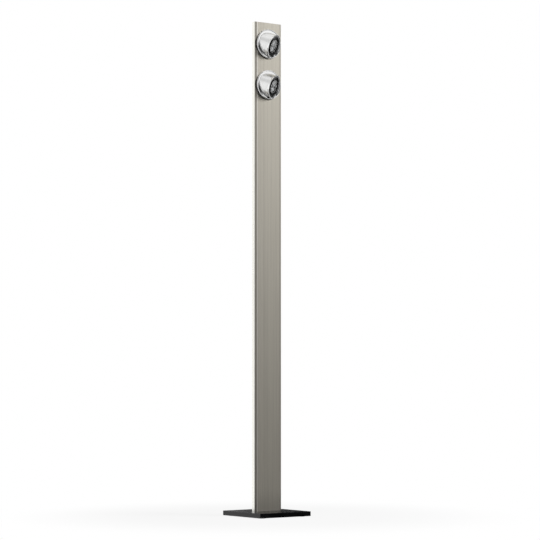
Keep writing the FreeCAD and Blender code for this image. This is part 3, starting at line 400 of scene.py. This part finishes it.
def plus(tree, first, second, clamp=False):
    """The sum of two values, held between 0 and 1 if asked."""
    return math_node(tree, "ADD", first, second, clamp)


def rest_of(tree, value):
    """1 minus a value."""
    return math_node(tree, "SUBTRACT", 1.0, value)


def ramp(tree, value, low, high, kind="SMOOTHSTEP"):
    """A step from 0 at low to 1 at high, soft unless another kind is asked for."""
    node = tree.nodes.new("ShaderNodeMapRange")
    node.interpolation_type = kind
    tree.links.new(value, node.inputs["Value"])
    node.inputs["From Min"].default_value = low
    node.inputs["From Max"].default_value = high
    return node.outputs["Result"]


def between(tree, value, rise, fall):
    """1 between two soft steps, 0 outside them."""
    return math_node(tree, "SUBTRACT", ramp(tree, value, *rise), ramp(tree, value, *fall))


def less(tree, value, share, amount):
    """A value dimmed by an amount where the share is 1."""
    return times(tree, value, rest_of(tree, times(tree, share, amount)))


def parts_of(tree, vector):
    """The X, Y and Z of a vector."""
    node = tree.nodes.new("ShaderNodeSeparateXYZ")
    tree.links.new(vector, node.inputs[0])
    return tuple(node.outputs)


def length_of(tree, vector):
    """The length of a vector."""
    node = tree.nodes.new("ShaderNodeVectorMath")
    node.operation = "LENGTH"
    tree.links.new(vector, node.inputs[0])
    return node.outputs["Value"]


def mix_colour(tree, share, first, second):
    """A colour Mix node whose inputs are sockets, numbers or colours."""
    node = tree.nodes.new("ShaderNodeMix")
    node.data_type = "RGBA"
    wanted = {"Factor_Float": share, "A_Color": first, "B_Color": second}
    for socket in node.inputs:
        if socket.identifier in wanted:
            link_or_set(tree, socket, wanted[socket.identifier])
    return next(socket for socket in node.outputs if socket.type == "RGBA")


def value_colour(tree, value):
    """Turns a number into a grey colour."""
    node = tree.nodes.new("ShaderNodeCombineColor")
    for socket in node.inputs:
        tree.links.new(value, socket)
    return node.outputs[0]


def noise(tree, vector, scale, detail, roughness=0.5):
    """A noise texture on a vector."""
    node = tree.nodes.new("ShaderNodeTexNoise")
    tree.links.new(vector, node.inputs["Vector"])
    link_or_set(tree, node.inputs["Scale"], scale)
    node.inputs["Detail"].default_value = detail
    node.inputs["Roughness"].default_value = roughness
    return node.outputs["Fac"]


# Node groups that several finishes share

def new_group(name, inputs, outputs):
    """Starts a node group with named sockets: f for a number, c for a colour, v for a vector."""
    group = bpy.data.node_groups.new(name, "ShaderNodeTree")
    kinds = {"f": "NodeSocketFloat", "c": "NodeSocketColor", "v": "NodeSocketVector"}
    for way, sockets in (("INPUT", inputs), ("OUTPUT", outputs)):
        for label, kind in sockets:
            group.interface.new_socket(label, in_out=way, socket_type=kinds[kind])
    return group, group.nodes.new("NodeGroupInput").outputs, group.nodes.new("NodeGroupOutput").inputs


def pattern_group(name, own_input, own_kind):
    """Starts a group for a pattern between two colours that also varies the roughness."""
    shared = [("Dark", "c"), ("Light", "c"), ("Level", "f"), ("Spread", "f")]
    return new_group(
        name,
        [("Vector", "v"), (own_input, own_kind), *shared],
        [("Colour", "c"), ("Roughness", "f"), ("Height", "f")],
    )


def fill_pattern(group, given, result, share, wave, middle, height):
    """Colour from dark to light by the share; roughness as level + spread (wave - middle); height."""
    offset = times(group, math_node(group, "SUBTRACT", wave, middle), given["Spread"])
    group.links.new(mix_colour(group, share, given["Dark"], given["Light"]), result["Colour"])
    group.links.new(plus(group, given["Level"], offset, clamp=True), result["Roughness"])
    group.links.new(height, result["Height"])


def group_of_brush_lines():
    """Long fine lines: noise squeezed across the brushing and drawn out along it, in two widths."""
    group, given, result = pattern_group("brush_lines", "Stretch", "v")
    scaled = group.nodes.new("ShaderNodeVectorMath")
    scaled.operation = "MULTIPLY"
    group.links.new(given["Vector"], scaled.inputs[0])
    group.links.new(given["Stretch"], scaled.inputs[1])
    fine = noise(group, scaled.outputs[0], scale=1.0, detail=5.0, roughness=0.65)
    wide = noise(group, scaled.outputs[0], scale=0.11, detail=3.0)
    both = plus(group, times(group, fine, 0.6), times(group, wide, 0.4))
    share = ramp(group, both, low=0.34, high=0.66)
    fill_pattern(group, given, result, share, wave=fine, middle=0.5, height=fine)


def group_of_grain():
    """A fine even grain with soft smears over it, for paint, plastic, rubber and polish."""
    group, given, result = pattern_group("fine_grain", "Scale", "f")
    grain = noise(group, given["Vector"], scale=given["Scale"], detail=3.0)
    smear = noise(group, given["Vector"], scale=14.0, detail=4.0, roughness=0.6)
    soft = ramp(group, smear, low=0.35, high=0.7)
    share = plus(group, times(group, grain, 0.4), times(group, soft, 0.5), clamp=True)
    fill_pattern(group, given, result, share, wave=share, middle=0.45, height=grain)


def group_of_edge_wear():
    """Worn edges: where the rounded normal leaves the true one, broken up by noise."""
    group, given, result = new_group(
        "edge_wear",
        [("Vector", "v"), ("Reach", "f"), ("Amount", "f"), ("Colour", "c"), ("Worn", "c")],
        [("Colour", "c")],
    )
    bevel = group.nodes.new("ShaderNodeBevel")
    bevel.samples = 4
    group.links.new(given["Reach"], bevel.inputs["Radius"])
    true_normal = group.nodes.new("ShaderNodeNewGeometry")
    dot = group.nodes.new("ShaderNodeVectorMath")
    dot.operation = "DOT_PRODUCT"
    group.links.new(bevel.outputs["Normal"], dot.inputs[0])
    group.links.new(true_normal.outputs["Normal"], dot.inputs[1])
    away = ramp(group, rest_of(group, dot.outputs["Value"]), low=0.01, high=0.22)
    speckle = noise(group, given["Vector"], scale=160.0, detail=4.0, roughness=0.7)
    patches = ramp(group, speckle, low=0.38, high=0.62)
    mask = math_node(group, "MULTIPLY", times(group, away, patches), given["Amount"], clamp=True)
    group.links.new(mix_colour(group, mask, given["Colour"], given["Worn"]), result["Colour"])


# Finishes

def shade(colour, amount):
    """A colour at a share of its brightness."""
    return [part * amount for part in colour]


def grey(level):
    """A grey of a given level."""
    return (level, level, level)


def object_place(tree):
    """Object coordinates."""
    return tree.nodes.new("ShaderNodeTexCoord").outputs["Object"]


def start_material(name, turn=None, centre=None):
    """Starts a material: its tree, its Principled shader, and object coordinates, which are turned
    and centred if asked."""
    material = bpy.data.materials.new(name)
    material.use_nodes = True
    MATERIALS[name] = material
    tree = material.node_tree
    mapping = tree.nodes.new("ShaderNodeMapping")
    mapping.vector_type = "TEXTURE"
    tree.links.new(object_place(tree), mapping.inputs["Vector"])
    if turn is not None:
        mapping.inputs["Rotation"].default_value = turn
    if centre is not None:
        mapping.inputs["Location"].default_value = centre
    return tree, tree.nodes["Principled BSDF"], mapping.outputs["Vector"]


def place_group(tree, group, vector, **values):
    """Places a shared group on a vector and fills its inputs by their names."""
    node = tree.nodes.new("ShaderNodeGroup")
    node.node_tree = bpy.data.node_groups[group]
    for label, value in {"Vector": vector, **values}.items():
        link_or_set(tree, node.inputs[label], value)
    return node.outputs


def bump(tree, shader, height, strength, distance):
    """Feeds a height into the shader's normal."""
    node = tree.nodes.new("ShaderNodeBump")
    node.inputs["Strength"].default_value = strength
    node.inputs["Distance"].default_value = distance
    tree.links.new(height, node.inputs["Height"])
    tree.links.new(node.outputs["Normal"], shader.inputs["Normal"])


def source_of(shader, label):
    """The socket that feeds an input of the shader."""
    return shader.inputs[label].links[0].from_socket


def wear_pattern(tree, shader, vector, pattern, worn, wear, reach, strength, relief):
    """Gives the shader a pattern's colour with worn edges, its roughness and its relief."""
    edges = place_group(tree, "edge_wear", vector, Reach=reach, Amount=wear,
                        Colour=pattern["Colour"], Worn=worn)
    tree.links.new(edges["Colour"], shader.inputs["Base Color"])
    tree.links.new(pattern["Roughness"], shader.inputs["Roughness"])
    bump(tree, shader, pattern["Height"], strength, relief)


def grained(name, dark, light, level, spread=0.2, metallic=0.0, scale=900.0, relief=0.00002,
            worn=None, wear=0.5, reach=0.0006, specular=0.5):
    """A finish with fine grain, smears in its sheen and worn edges."""
    tree, shader, vector = start_material(name)
    grain = place_group(tree, "fine_grain", vector, Scale=scale, Dark=dark, Light=light,
                        Level=level, Spread=spread)
    wear_pattern(tree, shader, vector, grain, worn or light, wear, reach, strength=0.5, relief=relief)
    shader.inputs["Metallic"].default_value = metallic
    shader.inputs["Specular IOR Level"].default_value = specular
    return tree, shader


def brushed(name, stretch, dark, light, level, spread, turn=None, centre=None,
            worn=(0.85, 0.84, 0.8), metallic=1.0):
    """Bare metal with brush lines, and edges that shine where they are rubbed."""
    tree, shader, vector = start_material(name, turn, centre)
    lines = place_group(tree, "brush_lines", vector, Stretch=stretch, Dark=dark, Light=light,
                        Level=level, Spread=spread)
    wear_pattern(tree, shader, vector, lines, worn, wear=0.35, reach=0.0005, strength=0.35,
                 relief=0.00003)
    shader.inputs["Metallic"].default_value = metallic
    return tree, shader, vector


def stretch_sheen(tree, shader, amount):
    """Draws highlights out level, across the upright brush lines."""
    level = tree.nodes.new("ShaderNodeTangent")
    level.direction_type = "RADIAL"
    level.axis = "Z"
    tree.links.new(level.outputs[0], shader.inputs["Tangent"])
    shader.inputs["Anisotropic"].default_value = amount


def shade_panel(tree, shader):
    """Darkens the two bevels and the foot as painted shade, paints a narrow highlight beside the left
    bevel, and gives the panel's sides the channel's bare metal."""
    across, _, up = parts_of(tree, object_place(tree))
    right = between(tree, across, *RIGHT_BEVEL)
    left = rest_of(tree, ramp(tree, across, *LEFT_BEVEL))
    # painted shade: the panel's colour darkens towards the base
    foot = rest_of(tree, ramp(tree, up, *SHADED_FOOT))
    # painted shade: the bevels and the foot are mixed towards a dark brown
    bevels = plus(tree, times(tree, right, 0.55), times(tree, left, 0.46))
    panel_shade = plus(tree, bevels, times(tree, foot, 0.35), clamp=True)
    shaded_panel_colour = mix_colour(tree, panel_shade, source_of(shader, "Base Color"), (0.3, 0.28, 0.25))
    # painted highlight: a narrow pale stripe inside the left bevel stands in for light caught on its
    # edge
    line = between(tree, across, *PAINTED_HIGHLIGHT_LINE)
    highlighted_panel_colour = mix_colour(tree, line, shaded_panel_colour, (1.0, 0.97, 0.9))
    side = ramp(tree, math_node(tree, "ABSOLUTE", across), *PANEL_SIDES)
    channel = bpy.context.scene.lamp_colours.channel
    tree.links.new(mix_colour(tree, side, highlighted_panel_colour, channel), shader.inputs["Base Color"])
    metallic = shader.inputs["Metallic"].default_value
    tree.links.new(plus(tree, times(tree, side, 1.0 - metallic), metallic), shader.inputs["Metallic"])


def rub_top(tree, shader):
    """Makes a finish duller on faces that look up, where cloths rub it."""
    facing = tree.nodes.new("ShaderNodeTexCoord").outputs["Normal"]
    top = ramp(tree, parts_of(tree, facing)[2], *LOOKS_UP)
    duller = plus(tree, source_of(shader, "Roughness"), times(tree, top, 0.06), clamp=True)
    tree.links.new(duller, shader.inputs["Roughness"])


def drum_finish(which, satin, polished):
    """Satin drum brushed round its axis. Its collar and the edge of its mouth are polished, and painted
    shade darkens the collar's face next to the drum at the lower left."""
    centre, out, across, other = slant_axes(which)
    turn = Matrix((across, other, out)).transposed().to_euler("XYZ")
    tree, shader, vector = brushed(
        f"{which}_drum_satin", (60.0, 60.0, 1500.0), shade(satin, 0.86), satin,
        level=0.3, spread=0.12, turn=turn, centre=centre)
    slant_x, slant_y, slant_z = parts_of(tree, vector)
    place_x, place_y, place_z = parts_of(tree, object_place(tree))
    on_collar = ramp(tree, place_y, *COLLAR)
    shine = math_node(tree, "MAXIMUM", ramp(tree, slant_z, *MOUTH_EDGE), on_collar)
    sheen = less(tree, source_of(shader, "Roughness"), share=shine, amount=0.72)
    tree.links.new(sheen, shader.inputs["Roughness"])
    shined = mix_colour(tree, shine, source_of(shader, "Base Color"), polished)
    from_axis = tree.nodes.new("ShaderNodeCombineXYZ")
    tree.links.new(slant_x, from_axis.inputs["X"])
    tree.links.new(slant_y, from_axis.inputs["Y"])
    inside = rest_of(tree, ramp(tree, length_of(tree, from_axis.outputs[0]), *SHADE_END))
    # painted shade: the collar's face next to the drum turns near black at the lower left
    left = times(tree, place_x, SHADE_WAY[0])
    low = times(tree, math_node(tree, "SUBTRACT", place_z, pivot_of(which)[2]), SHADE_WAY[1])
    corner = ramp(tree, plus(tree, left, low), *SHADE_START)
    drum_shade = times(tree, times(tree, corner, inside), on_collar)
    tree.links.new(mix_colour(tree, drum_shade, shined, grey(0.03)), shader.inputs["Base Color"])


def lens_finish():
    """Clear lens glass with a faint haze that varies over it."""
    tree, shader, vector = start_material("lens_clear")
    grain = place_group(tree, "fine_grain", vector, Scale=900.0, Dark=(0.86, 0.87, 0.88),
                        Light=(0.95, 0.96, 0.97), Level=0.08, Spread=0.1)
    tree.links.new(grain["Colour"], shader.inputs["Base Color"])
    tree.links.new(grain["Roughness"], shader.inputs["Roughness"])
    shader.inputs["Transmission Weight"].default_value = 1.0
    shader.inputs["IOR"].default_value = 1.49
    bump(tree, shader, grain["Height"], strength=0.2, distance=0.00001)


def stand_finishes(colours):
    """Finishes of the upright, the base and what is inside them."""
    tree, shader, _ = brushed(
        "upright_brushed", (1400.0, 1400.0, 6.0), colours.upright_dark, colours.upright_light,
        level=0.34, spread=0.2, worn=(0.8, 0.78, 0.72), metallic=0.04)
    shader.inputs["Specular IOR Level"].default_value = 0.35
    stretch_sheen(tree, shader, 0.85)
    shade_panel(tree, shader)
    brushed("channel_satin", (700.0, 700.0, 8.0), shade(colours.channel, 0.96), colours.channel,
            level=0.25, spread=0.12)
    rub_top(*grained("base_lacquer", colours.base, (0.012, 0.012, 0.013), level=0.18, spread=0.1,
                     scale=500.0, relief=0.000008, worn=grey(0.05), wear=0.6, reach=0.0008,
                     specular=0.42))
    grained("pad_rubber", grey(0.02), grey(0.045), level=0.75, scale=1600.0)
    grained("screw_steel", (0.45, 0.45, 0.46), (0.66, 0.66, 0.67), level=0.28, spread=0.25,
            metallic=1.0, worn=grey(0.9))
    grained("plain_metal", (0.56, 0.56, 0.57), (0.74, 0.74, 0.75), level=0.35, metallic=1.0,
            worn=grey(0.9))
    grained("driver_shell", (0.70, 0.70, 0.68), (0.82, 0.82, 0.80), level=0.5, spread=0.15,
            scale=1400.0)
    grained("terminal_block_plastic", (0.66, 0.66, 0.62), (0.78, 0.78, 0.74), level=0.45,
            spread=0.15, scale=1400.0)
    grained("cable_sleeve", grey(0.02), grey(0.05), level=0.55, scale=1200.0)
    grained("gland_plastic_black", grey(0.02), grey(0.05), level=0.45, scale=1500.0)


def head_finishes(colours):
    """Finishes of the two heads."""
    grained("ring_polish", shade(colours.polished, 0.94), colours.polished, level=0.07,
            spread=0.08, metallic=1.0, scale=700.0, relief=0.000004, worn=grey(0.95))
    grained("slide_plastic", (0.74, 0.74, 0.70), (0.86, 0.86, 0.82), level=0.5, spread=0.15)
    grained("sink_black", grey(0.03), grey(0.065), level=0.5, metallic=0.8, worn=grey(0.3))
    grained("light_chip", (0.78, 0.62, 0.18), (0.92, 0.80, 0.36), level=0.3, spread=0.15,
            scale=2600.0)
    grained("mirror_facets", grey(0.72), grey(0.9), level=0.06, spread=0.06, metallic=1.0,
            scale=600.0, relief=0.000003)
    grained("baffle_black", grey(0.008), grey(0.02), level=0.26, spread=0.12, worn=grey(0.25),
            wear=0.8)
    for which in HEADS:
        drum_finish(which, colours.satin, colours.polished)
    lens_finish()


SLOT_FINISH = {
    "black_plate": "base_lacquer",
    "rubber_pads": "pad_rubber",
    "steel_fasteners": "screw_steel",
    "brushed_front": "upright_brushed",
    "bright_channel": "channel_satin",
    "plain_aluminium": "plain_metal",
    "driver_case": "driver_shell",
    "terminal_plastic": "terminal_block_plastic",
    "cable_jacket": "cable_sleeve",
    "gland_plastic": "gland_plastic_black",
    "polished_ring": "ring_polish",
    "washer_plastic": "slide_plastic",
    "black_sink": "sink_black",
    "led_face": "light_chip",
    "mirror_reflector": "mirror_facets",
    "lens_glass": "lens_clear",
    "black_baffle": "baffle_black",
}


class LAMP_OT_finishes(bpy.types.Operator):
    """Give every CAD piece its finish"""

    bl_idname = "lamp.finishes"
    bl_label = "Finishes"

    def execute(self, context):
        group_of_brush_lines()
        group_of_grain()
        group_of_edge_wear()
        stand_finishes(context.scene.lamp_colours)
        head_finishes(context.scene.lamp_colours)
        for name, node in frame["nodes"].items():
            for place in node.material_slots:
                slot = place.material.name.split(".")[0]
                if slot == "satin_housing":
                    place.material = MATERIALS[f"{name.split('_')[0]}_drum_satin"]
                elif slot in SLOT_FINISH:
                    place.material = MATERIALS[SLOT_FINISH[slot]]
                else:
                    raise RuntimeError(f"no finish for slot {slot} of {name}")
        return {"FINISHED"}


def make_bead(which, name, reach, lift, angle, size, faces):
    """Makes one bead of a head, lifted along the slanted axis from the mouth."""
    centre, out, across, other = slant_axes(which)
    points = bead_points(centre + lift * out, reach, angle, size, out, across, other)
    make_piece(f"{which}_{name}_bead", points, faces, f"{which}_head", "polished_ring")


class LAMP_OT_mouth_beads(bpy.types.Operator):
    """Run a polished bead round the edge of each mouth, its recess and its lens"""

    bl_idname = "lamp.mouth_beads"
    bl_label = "Mouth beads"

    def execute(self, context):
        radius = context.scene.lamp_heads.band_radius
        for which in HEADS:
            angle, full = rim_arc(which)
            faces = capped_faces(BEAD_STEPS, BEAD_SIDES)
            make_bead(which, "mouth", RIM_REACH, RIM_LIFT, angle, radius * full, faces)
            angle = full_turn(BEAD_STEPS)
            faces = grid_faces(BEAD_STEPS, BEAD_SIDES, loop=True)
            for name, (reach, lift, size) in INNER_BEADS.items():
                make_bead(which, name, reach, lift, angle, np.full(BEAD_STEPS, size), faces)
        return {"FINISHED"}


class LAMP_OT_reflectors(bpy.types.Operator):
    """Replace each reflector with a faceted one"""

    bl_idname = "lamp.reflectors"
    bl_label = "Faceted reflectors"

    def execute(self, context):
        facets = context.scene.lamp_heads.facets
        profile = bowl_profile()
        faces = grid_faces(len(profile), facets, loop=True)
        for which in HEADS:
            points = turned_points(profile, facets, *slant_axes(which))
            piece = make_piece(f"{which}_faceted_reflector", points, faces, f"{which}_head",
                               "mirror_reflector", smooth=False)
            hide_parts(f"{which}_reflector")
        return {"FINISHED"}


class LAMP_OT_lenses(bpy.types.Operator):
    """Replace each lens with one that has rings of small pillows"""

    bl_idname = "lamp.lenses"
    bl_label = "Lenses"

    def execute(self, context):
        ridge = context.scene.lamp_heads.lens_ridge
        faces = capped_faces(2 * LENS_RINGS, LENS_STEPS)
        for which in HEADS:
            points = lens_points(ridge, *slant_axes(which))
            piece = make_piece(f"{which}_pillow_lens", points, faces, f"{which}_head", "lens_glass")
            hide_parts(f"{which}_lens")
        return {"FINISHED"}


# Studio

def compass(tree, east, north):
    """Turn round the upright from straight ahead of its panel, in radians, positive to the right."""
    return math_node(tree, "ARCTAN2", east, times(tree, north, -1.0))


def sided_light(tree, direction):
    """Brightness by direction. In front is a dark curtain, and to its right a room that dims downwards
    and is greyer at its far side. All else is white, but for a low dark board at the back right and
    a slightly grey band high up on the camera's side."""
    east, north, up = parts_of(tree, direction)
    turn = compass(tree, east, north)
    board = times(tree, between(tree, turn, rise=(1.75, 1.95), fall=(2.50, 2.57)),
                  rest_of(tree, ramp(tree, up, low=0.33, high=0.55)))
    past_lamp = plus(tree, times(tree, east, 0.6), times(tree, north, 0.8))
    band = times(tree, between(tree, up, rise=(0.3, 0.5), fall=(0.75, 0.9)),
                 rest_of(tree, ramp(tree, past_lamp, low=0.0, high=0.3)))
    back = less(tree, less(tree, 1.0, share=board, amount=0.995), share=band, amount=0.3)
    height = ramp(tree, up, low=-0.04, high=0.16, kind="LINEAR")
    room = plus(tree, 0.02, times(tree, height, 0.98))
    curtain = rest_of(tree, ramp(tree, turn, low=0.2, high=0.45))
    room = less(tree, room, share=curtain, amount=0.93)
    room = less(tree, room, share=ramp(tree, turn, low=0.85, high=1.2), amount=0.6)
    front = between(tree, turn, rise=FRONT_LEFT, fall=(1.7, 2.1))
    return mix_colour(tree, front, value_colour(tree, back), value_colour(tree, room))


def mirror_share(tree, path):
    """1 for light that reaches the camera by mirrors or glass alone."""
    bounced = math_node(tree, "MAXIMUM", path["Is Glossy Ray"], path["Is Transmission Ray"])
    return times(tree, bounced, math_node(tree, "LESS_THAN", path["Diffuse Depth"], 0.5))


def make_world(room):
    """The camera sees white, mirrors and glass see the sided studio, and all else gets an even light."""
    scene = bpy.context.scene
    scene.world = scene.world or bpy.data.worlds.new("studio")
    scene.world.use_nodes = True
    tree = scene.world.node_tree
    tree.nodes.clear()
    direction = tree.nodes.new("ShaderNodeTexCoord").outputs["Generated"]
    path = tree.nodes.new("ShaderNodeLightPath").outputs
    bounced = mix_colour(tree, mirror_share(tree, path), grey(room), sided_light(tree, direction))
    colour = mix_colour(tree, path["Is Camera Ray"], bounced, grey(1.0))
    background = tree.nodes.new("ShaderNodeBackground")
    output = tree.nodes.new("ShaderNodeOutputWorld")
    tree.links.new(colour, background.inputs["Color"])
    tree.links.new(background.outputs[0], output.inputs["Surface"])


def floor_dark(tree, vector, distance):
    """Where mirrors see the floor dark: in front, but for a pale patch, and far off behind."""
    east, north, _ = parts_of(tree, vector)
    turn = compass(tree, east, north)
    patch = times(tree, between(tree, turn, rise=(-0.14, -0.04), fall=(0.2, 0.35)),
                  between(tree, distance, rise=(1.1, 1.5), fall=(3.2, 4.0)))
    front = less(tree, between(tree, turn, rise=FRONT_LEFT, fall=(0.95, 1.15)), share=patch, amount=0.9)
    behind = times(tree, between(tree, turn, rise=(2.55, 2.7), fall=(2.95, 3.1)),
                   ramp(tree, distance, low=2.0, high=3.2))
    return plus(tree, front, behind, clamp=True)


def floor_finish():
    """Plain white that takes some of the lamp's shadow near it, is dark in places to mirrors, and
    lights nothing."""
    tree, shader, vector = start_material("floor_paper")
    grain = place_group(tree, "fine_grain", vector, Scale=300.0, Dark=grey(0.9), Light=grey(0.94),
                        Level=0.85, Spread=0.1)
    tree.links.new(grain["Colour"], shader.inputs["Base Color"])
    tree.links.new(grain["Roughness"], shader.inputs["Roughness"])
    shader.inputs["Specular IOR Level"].default_value = 0.0
    distance = length_of(tree, vector)
    path = tree.nodes.new("ShaderNodeLightPath").outputs
    mirrored = mirror_share(tree, path)
    dark = times(tree, floor_dark(tree, vector, distance), mirrored)
    direct = math_node(tree, "MAXIMUM", path["Is Camera Ray"], mirrored)
    # a tenth of what is seen near the lamp is paper, which its shadow darkens, and a metre away none
    plain = plus(tree, 0.9, times(tree, ramp(tree, distance, low=0.35, high=1.0), 0.1))
    paper = rest_of(tree, math_node(tree, "MAXIMUM", plain, dark))
    glow = tree.nodes.new("ShaderNodeEmission")
    tree.links.new(value_colour(tree, less(tree, direct, share=dark, amount=1.0)), glow.inputs["Color"])
    blend = tree.nodes.new("ShaderNodeMixShader")
    tree.links.new(rest_of(tree, times(tree, direct, paper)), blend.inputs[0])
    tree.links.new(shader.outputs[0], blend.inputs[1])
    tree.links.new(glow.outputs[0], blend.inputs[2])
    tree.links.new(blend.outputs[0], tree.nodes["Material Output"].inputs["Surface"])


def make_floor():
    """A wide plain floor that keeps the lamp's shadow near it and fades to the white backdrop."""
    faces = grid_faces(FLOOR_RINGS, FLOOR_STEPS) + [list(range(FLOOR_STEPS))]
    floor = new_object("studio_floor", floor_points(), faces)
    floor_finish()
    floor.data.materials.append(MATERIALS["floor_paper"])


def add_key_lamp(power):
    """A large soft square lamp, which shines on the lamp and shows in no mirror or glass."""
    light = bpy.data.lights.new("key_lamp", "AREA")
    light.shape = "SQUARE"
    light.size = KEY_SIZE
    light.energy = power
    key = bpy.data.objects.new("key_lamp", light)
    key.location = KEY_PLACE
    key.rotation_mode = "QUATERNION"
    key.rotation_quaternion = (Vector(KEY_AIM) - Vector(KEY_PLACE)).to_track_quat("-Z", "Y")
    key.visible_glossy = False
    key.visible_transmission = False
    bpy.context.scene.collection.objects.link(key)


def add_camera():
    """The camera at the photograph's place, angle and frame."""
    data = bpy.data.cameras.new("photo_camera")
    data.sensor_width = CAMERA_SENSOR
    data.sensor_fit = "HORIZONTAL"
    data.lens = CAMERA_LENS
    camera = bpy.data.objects.new("photo_camera", data)
    camera.location = CAMERA_PLACE
    camera.rotation_euler = (math.radians(CAMERA_PITCH), 0.0, math.radians(CAMERA_HEADING))
    bpy.context.scene.collection.objects.link(camera)
    bpy.context.scene.camera = camera


class LAMP_OT_studio(bpy.types.Operator):
    """Set up the floor, the light and the camera"""

    bl_idname = "lamp.studio"
    bl_label = "Studio"

    def execute(self, context):
        context.scene.view_settings.view_transform = "Standard"
        make_world(context.scene.lamp_studio.room)
        make_floor()
        add_key_lamp(context.scene.lamp_studio.key_power)
        add_camera()
        return {"FINISHED"}


class LAMP_PT_pieces(bpy.types.Panel):
    """Shows the lamp's buttons and its colours, sizes and light"""

    bl_idname = "LAMP_PT_pieces"
    bl_label = "Floor lamp"
    bl_space_type = "VIEW_3D"
    bl_region_type = "UI"
    bl_category = "Lamp"

    def draw(self, context):
        for operator in OPERATORS:
            self.layout.operator(operator.bl_idname)
        for group in (context.scene.lamp_colours, context.scene.lamp_heads, context.scene.lamp_studio):
            for key in group.bl_rna.properties.keys():
                if key not in ("rna_type", "name"):
                    self.layout.prop(group, key)


OPERATORS = (LAMP_OT_studio, LAMP_OT_finishes, LAMP_OT_mouth_beads, LAMP_OT_reflectors, LAMP_OT_lenses)
CLASSES = (FinishColours, HeadSizes, StudioLight, *OPERATORS, LAMP_PT_pieces)


def register():
    """Adds the classes and the settings that hang on the scene."""
    for cls in CLASSES:
        bpy.utils.register_class(cls)
    bpy.types.Scene.lamp_colours = bpy.props.PointerProperty(type=FinishColours)
    bpy.types.Scene.lamp_heads = bpy.props.PointerProperty(type=HeadSizes)
    bpy.types.Scene.lamp_studio = bpy.props.PointerProperty(type=StudioLight)


def unregister():
    """Takes them away again."""
    del bpy.types.Scene.lamp_colours
    del bpy.types.Scene.lamp_heads
    del bpy.types.Scene.lamp_studio
    for cls in reversed(CLASSES):
        bpy.utils.unregister_class(cls)


def main():
    """Registers the add-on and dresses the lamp."""
    register()
    bpy.ops.lamp.finishes()
    bpy.ops.lamp.studio()
    bpy.ops.lamp.mouth_beads()
    bpy.ops.lamp.reflectors()
    bpy.ops.lamp.lenses()


if __name__ == "__main__":
    main()
